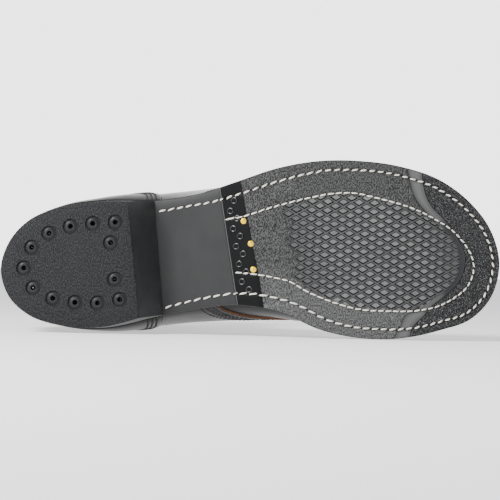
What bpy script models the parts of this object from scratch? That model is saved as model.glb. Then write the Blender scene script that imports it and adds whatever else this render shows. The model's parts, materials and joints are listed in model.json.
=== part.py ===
"""Right jump boot: black laced leather upper, welt, leather outsole, rubber half sole and nailed heel.

The boot is modelled standing, in millimetres: x runs from the heel's back edge to the toe, y to the
medial side and z up from the floor. The last step lays it on its medial side, where it rests on the half
sole's edge, the counter and the collar, with the toe towards +X and the sole facing -Y.
"""

import math

import bmesh
import bpy
import numpy as np
from mathutils import Matrix, Vector

MM = 0.001
# Clearance between neighbouring pieces
GAP = 0.3
SMOOTH_ANGLE = math.radians(35)

# Sole: plan outline, one row a station, from the heel's back edge to the toe tip
HEEL_BACK = (-1.0, 11.6)
TOE_TIP = (307.5, 9.8)
SOLE_COLUMNS = ("x", "lateral", "medial", "welt")
SOLE_STATIONS = (
    (5.0, -6.8, 30.4, 2.0),
    (16.0, -18.6, 40.4, 2.0),
    (36.5, -27.4, 47.4, 2.0),
    (61.0, -30.7, 48.8, 2.0),
    (98.0, -31.3, 41.0, 2.2),
    (122.0, -35.1, 36.2, 2.5),
    (145.0, -42.2, 34.0, 3.5),
    (171.0, -50.6, 38.2, 5.0),
    (196.0, -54.7, 49.0, 6.0),
    (220.0, -54.7, 54.1, 6.5),
    (245.0, -51.3, 54.3, 6.5),
    (270.0, -42.9, 49.4, 6.8),
    (289.0, -29.1, 42.8, 7.0),
    (301.3, -13.4, 30.6, 7.0),
)
# Sole: height of the outsole's underside along the boot, with the shank's arch and the toe spring
SOLE_LINE = (
    (-1.0, 26.5),
    (60.0, 26.5),
    (92.0, 25.0),
    (112.0, 19.5),
    (135.0, 12.0),
    (160.0, 6.4),
    (188.0, 4.8),
    (232.0, 4.8),
    (258.0, 7.0),
    (280.0, 11.5),
    (307.5, 19.5),
)
OUTSOLE_THICK = 5.0
WELT_THICK = 3.0
WELT_UNDER_UPPER = 4.5
INSOLE_THICK = 4.0
SOLE_PLATE_STATIONS = 48

# Half sole: a rubber tap under the forefoot, skived thin along its slanted back edge
TAP_THICK = 4.5
TAP_BACK_LATERAL_X = 134.0
TAP_BACK_MEDIAL_X = 145.0
TAP_SKIVE_LENGTH = 14.0
TAP_SKIVE_THICK = 2.4

# Heel: rubber block with a slanted breast, tapering a little towards the floor
HEEL_BOTTOM_INSET = 1.0
HEEL_MEDIAL_CORNER_INSET = 2.4
HEEL_CORNER_START_X = 50.0
HEEL_TOP_INSET = 0.3
BREAST_BOTTOM_X = {"lateral": 78.0, "medial": 85.0}
BREAST_TOP_X = {"lateral": 93.3, "medial": 99.0}
HEEL_STATIONS = 16
NAIL_RING_COUNT = 11
NAIL_RING_INSET = 14.2
NAIL_RING_SHIFT_Y = -1.2
NAIL_RING_LATERAL_X = 72.2
NAIL_RING_MEDIAL_X = 74.7
INNER_NAILS = ((67.5, -4.5), (69.9, 17.9))
NAIL_DISH_RADIUS = 4.0
NAIL_DISH_FLARE = 1.2
NAIL_DISH_DEPTH = 2.6
NAIL_HOLE_RADIUS = 1.6
NAIL_HOLE_DEPTH = 8.0
NAIL_SIDES = 8

# Brass nails that hold the tap's back edge
BRASS_NAILS = ((149.0, -17.8), (153.4, -3.9), (155.0, 12.0))
BRASS_NAIL_RADIUS = 1.85
BRASS_NAIL_THICK = 0.7
BRASS_NAIL_BEVEL = (0.55, 0.28)

# Upper: one row a section. A section is the plane through a point on the sole's feather line or the back
# seam and a point on the crest from toe to shin; lateral and medial are its widest reach across the boot.
LEATHER_WALL = 2.4
SECTION_COLUMNS = (
    "back_x", "rise", "front_x", "front_z", "lateral", "medial", "crest_y", "widest", "roof",
)
SECTIONS = {
    "toe_tip": (299.6, 0, 299.6, 32.0, 2.6, 17.4, 10.0, 0.40, 2.0),
    "toe_face": (297.2, 0, 297.0, 41.5, -4.6, 25.0, 10.0, 0.40, 2.1),
    "toe_dome": (291.0, 0, 290.0, 50.5, -16.2, 33.6, 10.0, 0.40, 2.2),
    "toe_top": (279.0, 0, 277.5, 57.0, -29.0, 41.0, 9.0, 0.40, 2.3),
    "cap": (260.0, 0, 258.5, 61.0, -41.5, 47.2, 8.0, 0.40, 2.3),
    "vamp": (236.0, 0, 235.5, 64.5, -48.3, 50.0, 7.0, 0.40, 2.2),
    "ball": (210.0, 0, 212.0, 70.0, -50.6, 48.0, 6.0, 0.40, 2.1),
    "throat": (183.0, 0, 189.0, 80.0, -49.0, 44.8, 5.0, 0.42, 1.95),
    "instep": (158.0, 0, 168.0, 96.0, -43.5, 42.6, 5.0, 0.42, 1.9),
    "waist": (132.0, 0, 150.0, 115.5, -39.4, 43.6, 6.0, 0.42, 1.9),
    "arch_back": (105.0, 0, 138.5, 133.0, -37.0, 44.8, 7.0, 0.40, 1.95),
    "heel_front": (72.0, 0, 132.0, 146.5, -34.6, 46.8, 7.4, 0.37, 2.0),
    "heel_mid": (38.0, 0, 129.0, 156.0, -31.6, 47.0, 7.6, 0.36, 2.0),
    "heel_rear": (14.0, 0, 127.5, 163.5, -29.6, 46.6, 7.6, 0.35, 2.0),
    "heel_back": (1.0, 0, 126.5, 170.0, -28.4, 46.2, 7.6, 0.35, 2.0),
    "seat": (0.7, 8.0, 126.3, 173.5, -28.3, 46.0, 7.6, 0.355, 2.0),
    "counter": (-1.4, 22.0, 126.0, 180.0, -28.2, 45.8, 7.6, 0.365, 2.0),
    "ankle": (-2.8, 42.0, 125.5, 191.0, -28.4, 45.6, 7.6, 0.38, 2.0),
    "achilles": (3.0, 70.0, 125.0, 204.0, -30.2, 46.4, 7.6, 0.42, 2.0),
    "shaft_low": (6.0, 105.0, 125.0, 219.0, -32.8, 47.8, 7.6, 0.45, 2.0),
    "shaft_mid": (4.0, 145.0, 125.5, 234.0, -34.3, 49.0, 7.6, 0.47, 2.0),
    "shaft_top": (0.0, 190.0, 126.5, 250.0, -35.4, 49.8, 7.6, 0.48, 2.0),
    "collar": (-4.0, 237.0, 128.0, 266.0, -36.0, 50.2, 7.6, 0.49, 2.0),
    "tongue_tip": (-5.5, 249.0, 129.5, 277.0, -36.3, 50.4, 7.6, 0.49, 2.0),
}
SECTION_NAMES = tuple(SECTIONS)
SECTION_DETAIL = 25
HALF_COLUMNS = 8
FOOT_CROWDING = 1.3
SLOT_HALF_WIDTH = 12.0
SLOT_SHARE_LIMIT = 0.3

# Overlays on the upper, by their side-view outlines and their thickness above it
PANEL_THICK = {"quarter": 1.2, "toe_cap": 1.5, "counter": 2.4, "backstay": 2.0, "collar_binding": 2.2}
CAP_SEAM_TOP = (254.0, 90.0)
CAP_SEAM_FOOT = (246.0, 14.0)
COUNTER_EDGE = (
    (-30.0, 100.0),
    (20.0, 95.0),
    (60.0, 84.0),
    (84.0, 70.0),
    (93.0, 52.0),
    (95.5, 36.0),
)
VAMP_SEAM = (
    (132.0, 24.5),
    (137.0, 31.0),
    (150.0, 40.0),
    (176.0, 50.0),
    (198.0, 60.0),
    (205.0, 72.0),
    (206.0, 100.0),
)
BINDING_DEPTH = 10.0
BINDING_OVERRUN = 0.3
BACKSTAY_HALF_WIDTH = 9.0
BACKSTAY_FRONT_X = 40.0
BACKSTAY_CUT = {"back_x": -40.0, "front_x": 50.0, "low_z": 60.0}
# Reach of the cutting forms beyond the boot: across it, above the collar and in front of the toe
PANEL_REACH = 130.0
ABOVE_COLLAR_Z = 320.0
BEYOND_TOE_X = 330.0
PANEL_EDGE_POINTS = 13
FEATHER_RUN_POINTS = 9

# Tongue, eyelets and lace
TONGUE_THICK = 2.0
TONGUE_START = SECTION_NAMES.index("throat") - 0.5
EYELET_PAIRS = 10
EYELET_FROM_CREST = SLOT_HALF_WIDTH + 9.0
EYELET_MARGIN = 12.0
EYELET_HOLE_RADIUS = 2.3
EYELET_RADIUS = 4.2
EYELET_BEVEL = 0.4
EYELET_THICK = 0.8
EYELET_SIDES = 6
LACE_RADIUS = 1.5
LACE_SIDES = 4
LACE_POINTS = 5
LACE_CLEAR = 1.0
LACE_END_GAP = 2.4
LACE_BAR_SPACING = 1.6

# How the boot lies: the middle of its weight, which decides the side it rests on
BALANCE_POINT = (116.0, 6.0, 63.0)
REST_TOLERANCE = 1e-4
FAR_CORNER = 1e4

# Finishes: colour, roughness and how metallic
BLACK_LEATHER = ((0.012, 0.012, 0.013), 0.28, 0.0)
EDGE_LEATHER = ((0.02, 0.019, 0.018), 0.45, 0.0)
SOLE_LEATHER = ((0.075, 0.078, 0.08), 0.5, 0.0)
TAP_RUBBER = ((0.09, 0.093, 0.093), 0.6, 0.0)
HEEL_RUBBER = ((0.05, 0.052, 0.054), 0.6, 0.0)
INSOLE_TAN = ((0.36, 0.22, 0.12), 0.6, 0.0)
LACE_BLACK = ((0.015, 0.015, 0.016), 0.7, 0.0)
EYELET_BLACK = ((0.02, 0.02, 0.021), 0.35, 0.9)
BRASS = ((0.85, 0.66, 0.32), 0.3, 1.0)


def column(name, names, rows):
    """One named column of a table, as an array."""
    return np.array([row[names.index(name)] for row in rows], float)


def smooth(table_x, table_y, x):
    """Monotone cubic through the table's points: flat stretches stay flat and nothing overshoots."""
    table_x = np.asarray(table_x, float)
    table_y = np.asarray(table_y, float)
    step = np.diff(table_x)
    slope = np.diff(table_y) / step
    tangent = np.empty_like(table_y)
    tangent[0] = slope[0]
    tangent[-1] = slope[-1]
    before, after = slope[:-1], slope[1:]
    same_way = before * after > 0
    harmonic = 2 * before * after / np.where(same_way, before + after, 1.0)
    tangent[1:-1] = np.where(same_way, harmonic, 0.0)
    x = np.clip(np.asarray(x, float), table_x[0], table_x[-1])
    cell = np.clip(np.searchsorted(table_x, x, side="right") - 1, 0, len(step) - 1)
    t = (x - table_x[cell]) / step[cell]
    rise = (3 - 2 * t) * t * t
    start = t * (1 - t) ** 2 * step[cell] * tangent[cell]
    end = t * t * (t - 1) * step[cell] * tangent[cell + 1]
    return table_y[cell] * (1 - rise) + table_y[cell + 1] * rise + start + end


def open_curve(points, count):
    """A smooth curve through a few points, as count points evenly spaced in the chord's length."""
    points = np.asarray(points, float)
    along = np.concatenate([[0], np.cumsum(np.linalg.norm(np.diff(points, axis=0), axis=1))])
    at = np.linspace(0, along[-1], count)
    return np.stack([smooth(along, points[:, k], at) for k in range(points.shape[1])], axis=1)


def closed_curve(points, per_span=12):
    """A smooth closed curve through the points, with tangents weighted by the spans on each side."""
    points = np.asarray(points, float)
    span = np.linalg.norm(np.roll(points, -1, 0) - points, axis=1)[:, None]
    slope = (np.roll(points, -1, 0) - points) / span
    before = np.roll(span, 1, 0)
    tangent = (slope * before + np.roll(slope, 1, 0) * span) / (span + before)
    curve = []
    for i in range(len(points)):
        j = (i + 1) % len(points)
        t = np.linspace(0, 1, per_span, endpoint=False)[:, None]
        blend = (3 - 2 * t) * t * t
        bend = t * (1 - t) ** 2 * tangent[i] + t * t * (t - 1) * tangent[j]
        curve.append(points[i] * (1 - blend) + points[j] * blend + bend * span[i])
    return np.concatenate(curve)


def outward_normals(loop):
    """Unit normals of a closed plan outline that runs anticlockwise."""
    run = np.roll(loop, -1, 0) - np.roll(loop, 1, 0)
    normal = np.stack([run[:, 1], -run[:, 0]], axis=1)
    return normal / np.linalg.norm(normal, axis=1)[:, None]


def inset(loop, distance):
    """The outline moved inwards by a distance, which may differ from point to point."""
    return loop - outward_normals(loop) * np.broadcast_to(distance, len(loop))[:, None]


def edges_of(loop):
    """The outline's lateral and medial edges, each as (x, y) columns with x rising."""
    first = int(np.argmin(loop[:, 0]))
    loop = np.roll(loop, -first, 0)
    tip = int(np.argmax(loop[:, 0]))
    lateral = loop[: tip + 1]
    medial = np.concatenate([loop[tip:], loop[:1]])[::-1]
    return {"lateral": lateral, "medial": medial}


def edge_y(edges, side, x):
    """Where the outline's edge on one side lies across the boot, at x."""
    return np.interp(x, edges[side][:, 0], edges[side][:, 1])


def sole_outline():
    x = column("x", SOLE_COLUMNS, SOLE_STATIONS)
    lateral = np.stack([x, column("lateral", SOLE_COLUMNS, SOLE_STATIONS)], axis=1)
    medial = np.stack([x, column("medial", SOLE_COLUMNS, SOLE_STATIONS)], axis=1)
    return closed_curve(np.concatenate([[HEEL_BACK], lateral, [TOE_TIP], medial[::-1]]))


SOLE = sole_outline()
WELT_WIDTH = np.interp(
    SOLE[:, 0], column("x", SOLE_COLUMNS, SOLE_STATIONS), column("welt", SOLE_COLUMNS, SOLE_STATIONS)
)
FEATHER = inset(SOLE, WELT_WIDTH)
FEATHER_EDGES = edges_of(FEATHER)
HEEL_SEAT_X, BACK_SEAM_Y = FEATHER_EDGES["medial"][0]


def underside(x):
    """Height of the outsole's underside."""
    line = np.array(SOLE_LINE)
    return smooth(line[:, 0], line[:, 1], x)


def outsole_top(x):
    return underside(x) + OUTSOLE_THICK


def welt_top(x):
    return outsole_top(x) + GAP + WELT_THICK


def feather_z(x):
    """Height of the upper's lower edge, just clear of the welt."""
    return welt_top(x) + GAP


def material(name, finish):
    colour, roughness, metallic = finish
    made = bpy.data.materials.new(name)
    made.use_nodes = True
    shader = made.node_tree.nodes["Principled BSDF"]
    shader.inputs["Base Color"].default_value = (*colour, 1.0)
    shader.inputs["Roughness"].default_value = roughness
    shader.inputs["Metallic"].default_value = metallic
    return made


def mesh_object(name, points, faces, finish=None):
    """An object from points in millimetres. Without a finish it is a cutter, left out of the build."""
    mesh = bpy.data.meshes.new(name)
    mesh.from_pydata((np.asarray(points, float) * MM).tolist(), [], [list(f) for f in faces])
    work = bmesh.new()
    work.from_mesh(mesh)
    bmesh.ops.remove_doubles(work, verts=work.verts, dist=1e-6)
    bmesh.ops.dissolve_degenerate(work, dist=1e-7, edges=work.edges)
    bmesh.ops.recalc_face_normals(work, faces=work.faces)
    work.to_mesh(mesh)
    work.free()
    made = bpy.data.objects.new(name, mesh)
    bpy.context.scene.collection.objects.link(made)
    if finish is None:
        made.hide_render = True
        made.display_type = "WIRE"
    else:
        mesh.materials.append(material(name, finish))
        mesh.shade_smooth()
        mesh.set_sharp_from_angle(angle=SMOOTH_ANGLE)
    return made


def boolean(target, tool, operation):
    """Cuts, keeps or joins with another object, and bakes the result into the target's mesh."""
    step = target.modifiers.new(operation, "BOOLEAN")
    step.operation = operation
    step.object = tool
    step.solver = "EXACT"
    graph = bpy.context.evaluated_depsgraph_get()
    cut = bpy.data.meshes.new_from_object(target.evaluated_get(graph))
    target.modifiers.remove(step)
    target.data = cut
    return target


def discard(*objects):
    for made in objects:
        bpy.data.objects.remove(made)


def strip_faces(count, ring):
    """Faces between successive rings of a closed cross-section, with the two ends filled."""
    faces = []
    for i in range(count - 1):
        for j in range(ring):
            a, b = i * ring + j, i * ring + (j + 1) % ring
            faces.append((a, b, b + ring, a + ring))
    faces.append(tuple(range(ring))[::-1])
    faces.append(tuple((count - 1) * ring + j for j in range(ring)))
    return faces


def eased(count):
    """Shares from 0 to 1 that crowd towards both ends, for outlines with round ends."""
    return 0.5 - 0.5 * np.cos(np.linspace(0, math.pi, count))


def plate(name, edges, start, low, high, finish, count=SOLE_PLATE_STATIONS):
    """A sole layer between two heights. Each edge has its own start, so its back end may slant."""
    end = {side: edges[side][-1, 0] for side in edges}
    rings = []
    for share in eased(count):
        x = {side: start[side] + share * (end[side] - start[side]) for side in edges}
        corners = [(side, height) for side in ("lateral", "medial") for height in (low, high)]
        order = (corners[0], corners[2], corners[3], corners[1])
        rings += [(x[s], edge_y(edges, s, x[s]), height(x[s])) for s, height in order]
    return mesh_object(name, rings, strip_faces(count, 4), finish)


def build_outsole():
    edges = edges_of(SOLE)
    start = {side: edges[side][0, 0] for side in edges}
    return plate("outsole", edges, start, underside, outsole_top, SOLE_LEATHER)


def build_insole():
    edges = edges_of(inset(FEATHER, WELT_UNDER_UPPER + GAP))
    start = {side: edges[side][0, 0] for side in edges}

    def low(x):
        return outsole_top(x) + GAP

    def high(x):
        return low(x) + INSOLE_THICK

    return plate("insole", edges, start, low, high, INSOLE_TAN)


def build_welt():
    """A flat strip right round the sole's edge, under the upper's lower rim."""
    outer, inner = SOLE[::4], inset(FEATHER, WELT_UNDER_UPPER)[::4]
    points = []
    for out, within in zip(outer, inner):
        for (x, y), height in ((out, 0.0), (within, 0.0), (within, WELT_THICK), (out, WELT_THICK)):
            points.append((x, y, outsole_top(x) + GAP + height))
    count = len(outer)
    faces = []
    for i in range(count):
        here, there = 4 * i, 4 * ((i + 1) % count)
        faces += [
            (here + j, here + (j + 1) % 4, there + (j + 1) % 4, there + j) for j in range(4)
        ]
    return mesh_object("welt", points, faces, EDGE_LEATHER)


def tap_top(x):
    return underside(x) - GAP


def tap_bottom(x):
    """Height of the half sole's tread, which is thinner over the skived back edge."""
    skive = np.clip((x - TAP_BACK_LATERAL_X) / TAP_SKIVE_LENGTH, 0, 1)
    return tap_top(x) - TAP_SKIVE_THICK - (TAP_THICK - TAP_SKIVE_THICK) * skive


def build_tap():
    edges = edges_of(SOLE)
    start = {"lateral": TAP_BACK_LATERAL_X, "medial": TAP_BACK_MEDIAL_X}
    return plate("half_sole", edges, start, tap_bottom, tap_top, TAP_RUBBER)


def heel_inset(loop, at_floor):
    """How far the heel's edge stands in from the outsole's edge."""
    if not at_floor:
        return np.full(len(loop), HEEL_TOP_INSET)
    corner_length = BREAST_BOTTOM_X["medial"] - HEEL_CORNER_START_X
    share = np.clip((loop[:, 0] - HEEL_CORNER_START_X) / corner_length, 0, 1)
    extra = (HEEL_MEDIAL_CORNER_INSET - HEEL_BOTTOM_INSET) * share
    return HEEL_BOTTOM_INSET + np.where(loop[:, 1] > 0, extra, 0.0)


def turned_points(centre, profile, sides):
    """Points of a turned shape on a vertical axis, profile as (radius, height) from bottom to top."""
    turns = np.linspace(0, 2 * math.pi, sides, endpoint=False)
    return [
        (centre[0] + r * math.cos(a), centre[1] + r * math.sin(a), z) for r, z in profile for a in turns
    ]


def heel_nail_places():
    """Nails evenly spaced along a line inside the heel's edge, and two more near the breast."""
    edges = edges_of(inset(SOLE, HEEL_BOTTOM_INSET + NAIL_RING_INSET))
    lateral = edges["lateral"][edges["lateral"][:, 0] <= NAIL_RING_LATERAL_X][::-1]
    medial = edges["medial"][edges["medial"][:, 0] <= NAIL_RING_MEDIAL_X]
    line = np.concatenate([lateral, medial[1:]]) + (0, NAIL_RING_SHIFT_Y)
    along = np.concatenate([[0], np.cumsum(np.linalg.norm(np.diff(line, axis=0), axis=1))])
    at = np.linspace(0, along[-1], NAIL_RING_COUNT)
    ring = [(np.interp(a, along, line[:, 0]), np.interp(a, along, line[:, 1])) for a in at]
    return ring + list(INNER_NAILS)


def heel_top(x):
    return underside(x) - GAP


def build_heel():
    floor_edges = edges_of(inset(SOLE, heel_inset(SOLE, True)))
    top_edges = edges_of(inset(SOLE, heel_inset(SOLE, False)))
    rings = []
    for share in 1 - np.cos(np.linspace(0, math.pi / 2, HEEL_STATIONS)):
        corners = []
        for edges, breast in ((floor_edges, BREAST_BOTTOM_X), (top_edges, BREAST_TOP_X)):
            for side in ("lateral", "medial"):
                first = edges[side][0, 0]
                x = first + share * (breast[side] - first)
                height = 0.0 if edges is floor_edges else heel_top(x)
                corners.append((x, edge_y(edges, side, x), height))
        rings += [corners[0], corners[1], corners[3], corners[2]]
    heel = mesh_object("heel", rings, strip_faces(HEEL_STATIONS, 4), HEEL_RUBBER)
    profile = (
        (NAIL_DISH_RADIUS + NAIL_DISH_FLARE, -NAIL_DISH_FLARE),
        (NAIL_DISH_RADIUS, 0.0),
        (NAIL_HOLE_RADIUS, NAIL_DISH_DEPTH),
        (NAIL_HOLE_RADIUS, NAIL_HOLE_DEPTH),
    )
    for place in heel_nail_places():
        points = turned_points(place, profile, NAIL_SIDES)
        tool = mesh_object("nail_recess", points, strip_faces(len(profile), NAIL_SIDES))
        boolean(heel, tool, "DIFFERENCE")
        discard(tool)
    return heel


def build_brass_nails():
    bevel_width, bevel_height = BRASS_NAIL_BEVEL
    for number, (x, y) in enumerate(BRASS_NAILS, 1):
        top = float(tap_bottom(x)) - GAP
        low = top - BRASS_NAIL_THICK
        profile = (
            (BRASS_NAIL_RADIUS - bevel_width, low),
            (BRASS_NAIL_RADIUS, low + bevel_height),
            (BRASS_NAIL_RADIUS, top),
        )
        points = turned_points((x, y), profile, NAIL_SIDES)
        mesh_object(f"brass_nail_{number}", points, strip_faces(len(profile), NAIL_SIDES), BRASS)


HEEL_BACK_U = SECTION_NAMES.index("heel_back")


def section_value(name, u):
    """A column of the section table at u. Up the back seam, back_x follows the rise and not u."""
    rows = tuple(SECTIONS.values())
    if name == "back_x" and u >= HEEL_BACK_U:
        seam = rows[HEEL_BACK_U:]
        rises = column("rise", SECTION_COLUMNS, seam)
        return float(smooth(rises, column("back_x", SECTION_COLUMNS, seam), section_value("rise", u)))
    return float(smooth(np.arange(len(rows)), column(name, SECTION_COLUMNS, rows), u))


def flank(side, seat_x, way, height, wide):
    """The lower part of a section, as (y, distance along the section). It follows the feather outline, as
    an upright wall on it would, and swells out to the section's widest reach."""
    share = np.linspace(0, 1, SECTION_DETAIL) ** 2
    seat = edge_y(FEATHER_EDGES, side, seat_x + way[0] * height * share)
    swell = (wide - seat[-1]) * (1 - (1 - share) ** 2)
    return np.stack([seat + swell, height * share], axis=1)


def section_halves(u):
    """The section at u as two dense lines, lateral and medial, each from the feather line to the crest."""
    value = {name: section_value(name, u) for name in SECTION_COLUMNS}
    back = np.array([value["back_x"], float(feather_z(value["back_x"])) + value["rise"]])
    front = np.array([value["front_x"], value["front_z"]])
    length = float(np.linalg.norm(front - back))
    way = (front - back) / length
    turn = np.linspace(0, math.pi / 2, SECTION_DETAIL)[1:]
    low = value["widest"] * length
    roof = 2.0 / value["roof"]
    crest = value["crest_y"]
    halves = {}
    for side in ("lateral", "medial"):
        wide = value[side]
        seat_x = max(value["back_x"], HEEL_SEAT_X) if u < HEEL_BACK_U else HEEL_SEAT_X
        flank_line = flank(side, seat_x, way, low, wide)
        roof_y = crest + (wide - crest) * np.cos(turn) ** roof
        roof_h = low + (length - low) * np.sin(turn) ** roof
        y = np.concatenate([flank_line[:, 0], roof_y])
        h = np.concatenate([flank_line[:, 1], roof_h])
        halves[side] = np.stack([back[0] + way[0] * h, y, back[1] + way[1] * h], axis=1)
    return halves


def from_crest(u, side, distance):
    """The point on the upper's outer face at a distance from the crest, along the section at u."""
    line = section_halves(u)[side][::-1]
    along = np.concatenate([[0], np.cumsum(np.linalg.norm(np.diff(line, axis=0), axis=1))])
    return np.array([np.interp(distance, along, line[:, k]) for k in range(3)])


def half_length(u, side):
    line = section_halves(u)[side]
    return float(np.linalg.norm(np.diff(line, axis=0), axis=1).sum())


def ring_points(u):
    """One ring of the upper's grid, from the lateral feather line over the crest to the medial one."""
    ring = []
    for side in ("lateral", "medial"):
        length = half_length(u, side)
        slot = min(SLOT_HALF_WIDTH, SLOT_SHARE_LIMIT * length)
        shares = 1 - np.linspace(1, 0, HALF_COLUMNS) ** FOOT_CROWDING
        distances = np.concatenate([[0.0], slot + (length - slot) * shares])
        points = [from_crest(u, side, d) for d in distances]
        ring += points[::-1] if side == "lateral" else points[1:]
    return np.array(ring)


def upper_rings():
    """Where the grid's rings lie: closest round the toe and the heel's corners, one a row up the shaft."""
    row = SECTION_NAMES.index
    stretches = (
        np.arange(0, row("toe_top"), 0.5),
        np.arange(row("toe_top"), row("ball")),
        np.arange(row("ball"), row("arch_back"), 0.5),
        np.arange(row("arch_back"), row("heel_front"), 0.25),
        np.arange(row("heel_front"), row("heel_mid"), 0.5),
        np.arange(row("heel_mid"), row("heel_back"), 0.25),
        np.arange(row("heel_back"), len(SECTION_NAMES)),
    )
    return np.concatenate(stretches)


RING_U = upper_rings()
GRID = np.array([ring_points(u) for u in RING_U])


def grid_normals():
    """Outward unit normals of the grid. The two ends of a closed ring share one along the back seam, and
    along the feather line they are level, so that the lower rim stays clear of the welt."""
    down_rings = np.gradient(GRID, axis=0)
    round_ring = np.gradient(GRID, axis=1)
    closed = RING_U >= HEEL_BACK_U
    seam = GRID[closed, 1] - GRID[closed, -2]
    round_ring[closed, 0] = seam
    round_ring[closed, -1] = seam
    normal = np.cross(round_ring, down_rings)
    normal /= np.linalg.norm(normal, axis=2)[:, :, None]
    shared = normal[closed, 0] + normal[closed, -1]
    shared /= np.linalg.norm(shared, axis=1)[:, None]
    normal[closed, 0] = shared
    normal[closed, -1] = shared
    for foot in (0, -1):
        normal[~closed, foot, 2] = 0.0
        normal[~closed, foot] /= np.linalg.norm(normal[~closed, foot], axis=1)[:, None]
    return normal


GRID_NORMALS = grid_normals()
CREST_COLUMN = HALF_COLUMNS


def shell(name, inner, outer, keep, finish=None):
    """A closed sheet between two offsets from the upper's outer face, over the cells that keep allows."""
    rings, columns = GRID.shape[:2]
    cells = [(i, j) for i in range(rings - 1) for j in range(columns - 1) if keep(RING_U[i], j)]
    index = {}

    def vertex(i, j):
        if RING_U[i] >= HEEL_BACK_U and j == columns - 1:
            j = 0
        return index.setdefault((i, j), len(index))

    faces = []
    for i, j in cells:
        corners = (vertex(i, j), vertex(i, j + 1), vertex(i + 1, j + 1), vertex(i + 1, j))
        falling = np.linalg.norm(GRID[i, j] - GRID[i + 1, j + 1])
        rising = np.linalg.norm(GRID[i, j + 1] - GRID[i + 1, j])
        first = 0 if falling <= rising else 1
        a, b, c, d = corners[first:] + corners[:first]
        faces += [(a, b, c), (a, c, d)]
    if keep(RING_U[0], 0) and keep(RING_U[0], columns - 2):
        faces.append(tuple(vertex(0, j) for j in range(columns))[::-1])
    places = sorted(index, key=index.get)
    base = np.array([GRID[i, j] for i, j in places])
    normal = np.array([GRID_NORMALS[i, j] for i, j in places])
    count = len(places)
    edges = {}
    for face in faces:
        for a, b in zip(face, face[1:] + face[:1]):
            edges.setdefault((min(a, b), max(a, b)), []).append((a, b))
    rim = [uses[0] for uses in edges.values() if len(uses) == 1]
    closed = faces + [tuple(v + count for v in face[::-1]) for face in faces]
    closed += [(b, a, a + count, b + count) for a, b in rim]
    points = np.concatenate([base + normal * outer, base + normal * inner])
    return mesh_object(name, points, closed, finish)


THROAT_U = SECTION_NAMES.index("throat")
COLLAR_U = SECTION_NAMES.index("collar")


def in_upper(u, j):
    """Grid cells of the upper: all below the collar but the two columns of the throat's slot."""
    slot = u >= THROAT_U and j in (CREST_COLUMN - 1, CREST_COLUMN)
    return u < COLLAR_U and not slot


def prism(name, outline, low_y=-PANEL_REACH, high_y=PANEL_REACH):
    """A side-view outline, as (x, z) points, drawn out across the boot."""
    outline = [tuple(p) for p in outline]
    points = [(x, y, z) for y in (low_y, high_y) for x, z in outline]
    return mesh_object(name, points, strip_faces(2, len(outline)))


def panel(name, thick, tools):
    """An overlay cut from a sheet on the upper. Each tool is (object, operation) and is used up."""
    made = shell(name, GAP, GAP + thick, in_upper, BLACK_LEATHER)
    for tool, operation in tools:
        boolean(made, tool, operation)
        discard(tool)
    finish_mesh(made)
    return made


def finish_mesh(made):
    made.data.shade_smooth()
    made.data.set_sharp_from_angle(angle=SMOOTH_ANGLE)


def binding_line():
    """Side-view line along the collar, a binding's depth below its edge."""
    back = GRID[-2, 0]
    front = GRID[-2, CREST_COLUMN]
    down = np.array([0, 0, BINDING_DEPTH])
    reach = (front - back) * BINDING_OVERRUN
    return [(p[0], p[2]) for p in (back - reach - down, front + reach - down)]


def feather_run(start_x, end_x):
    """Side-view points along the upper's lower edge."""
    return [(x, float(feather_z(x))) for x in np.linspace(start_x, end_x, FEATHER_RUN_POINTS)]


def seam_strip(name, outline, half_width):
    """A form over the back seam, its outline drawn out by half a width to each side."""
    return prism(name, outline, BACK_SEAM_Y - half_width, BACK_SEAM_Y + half_width)


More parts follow.
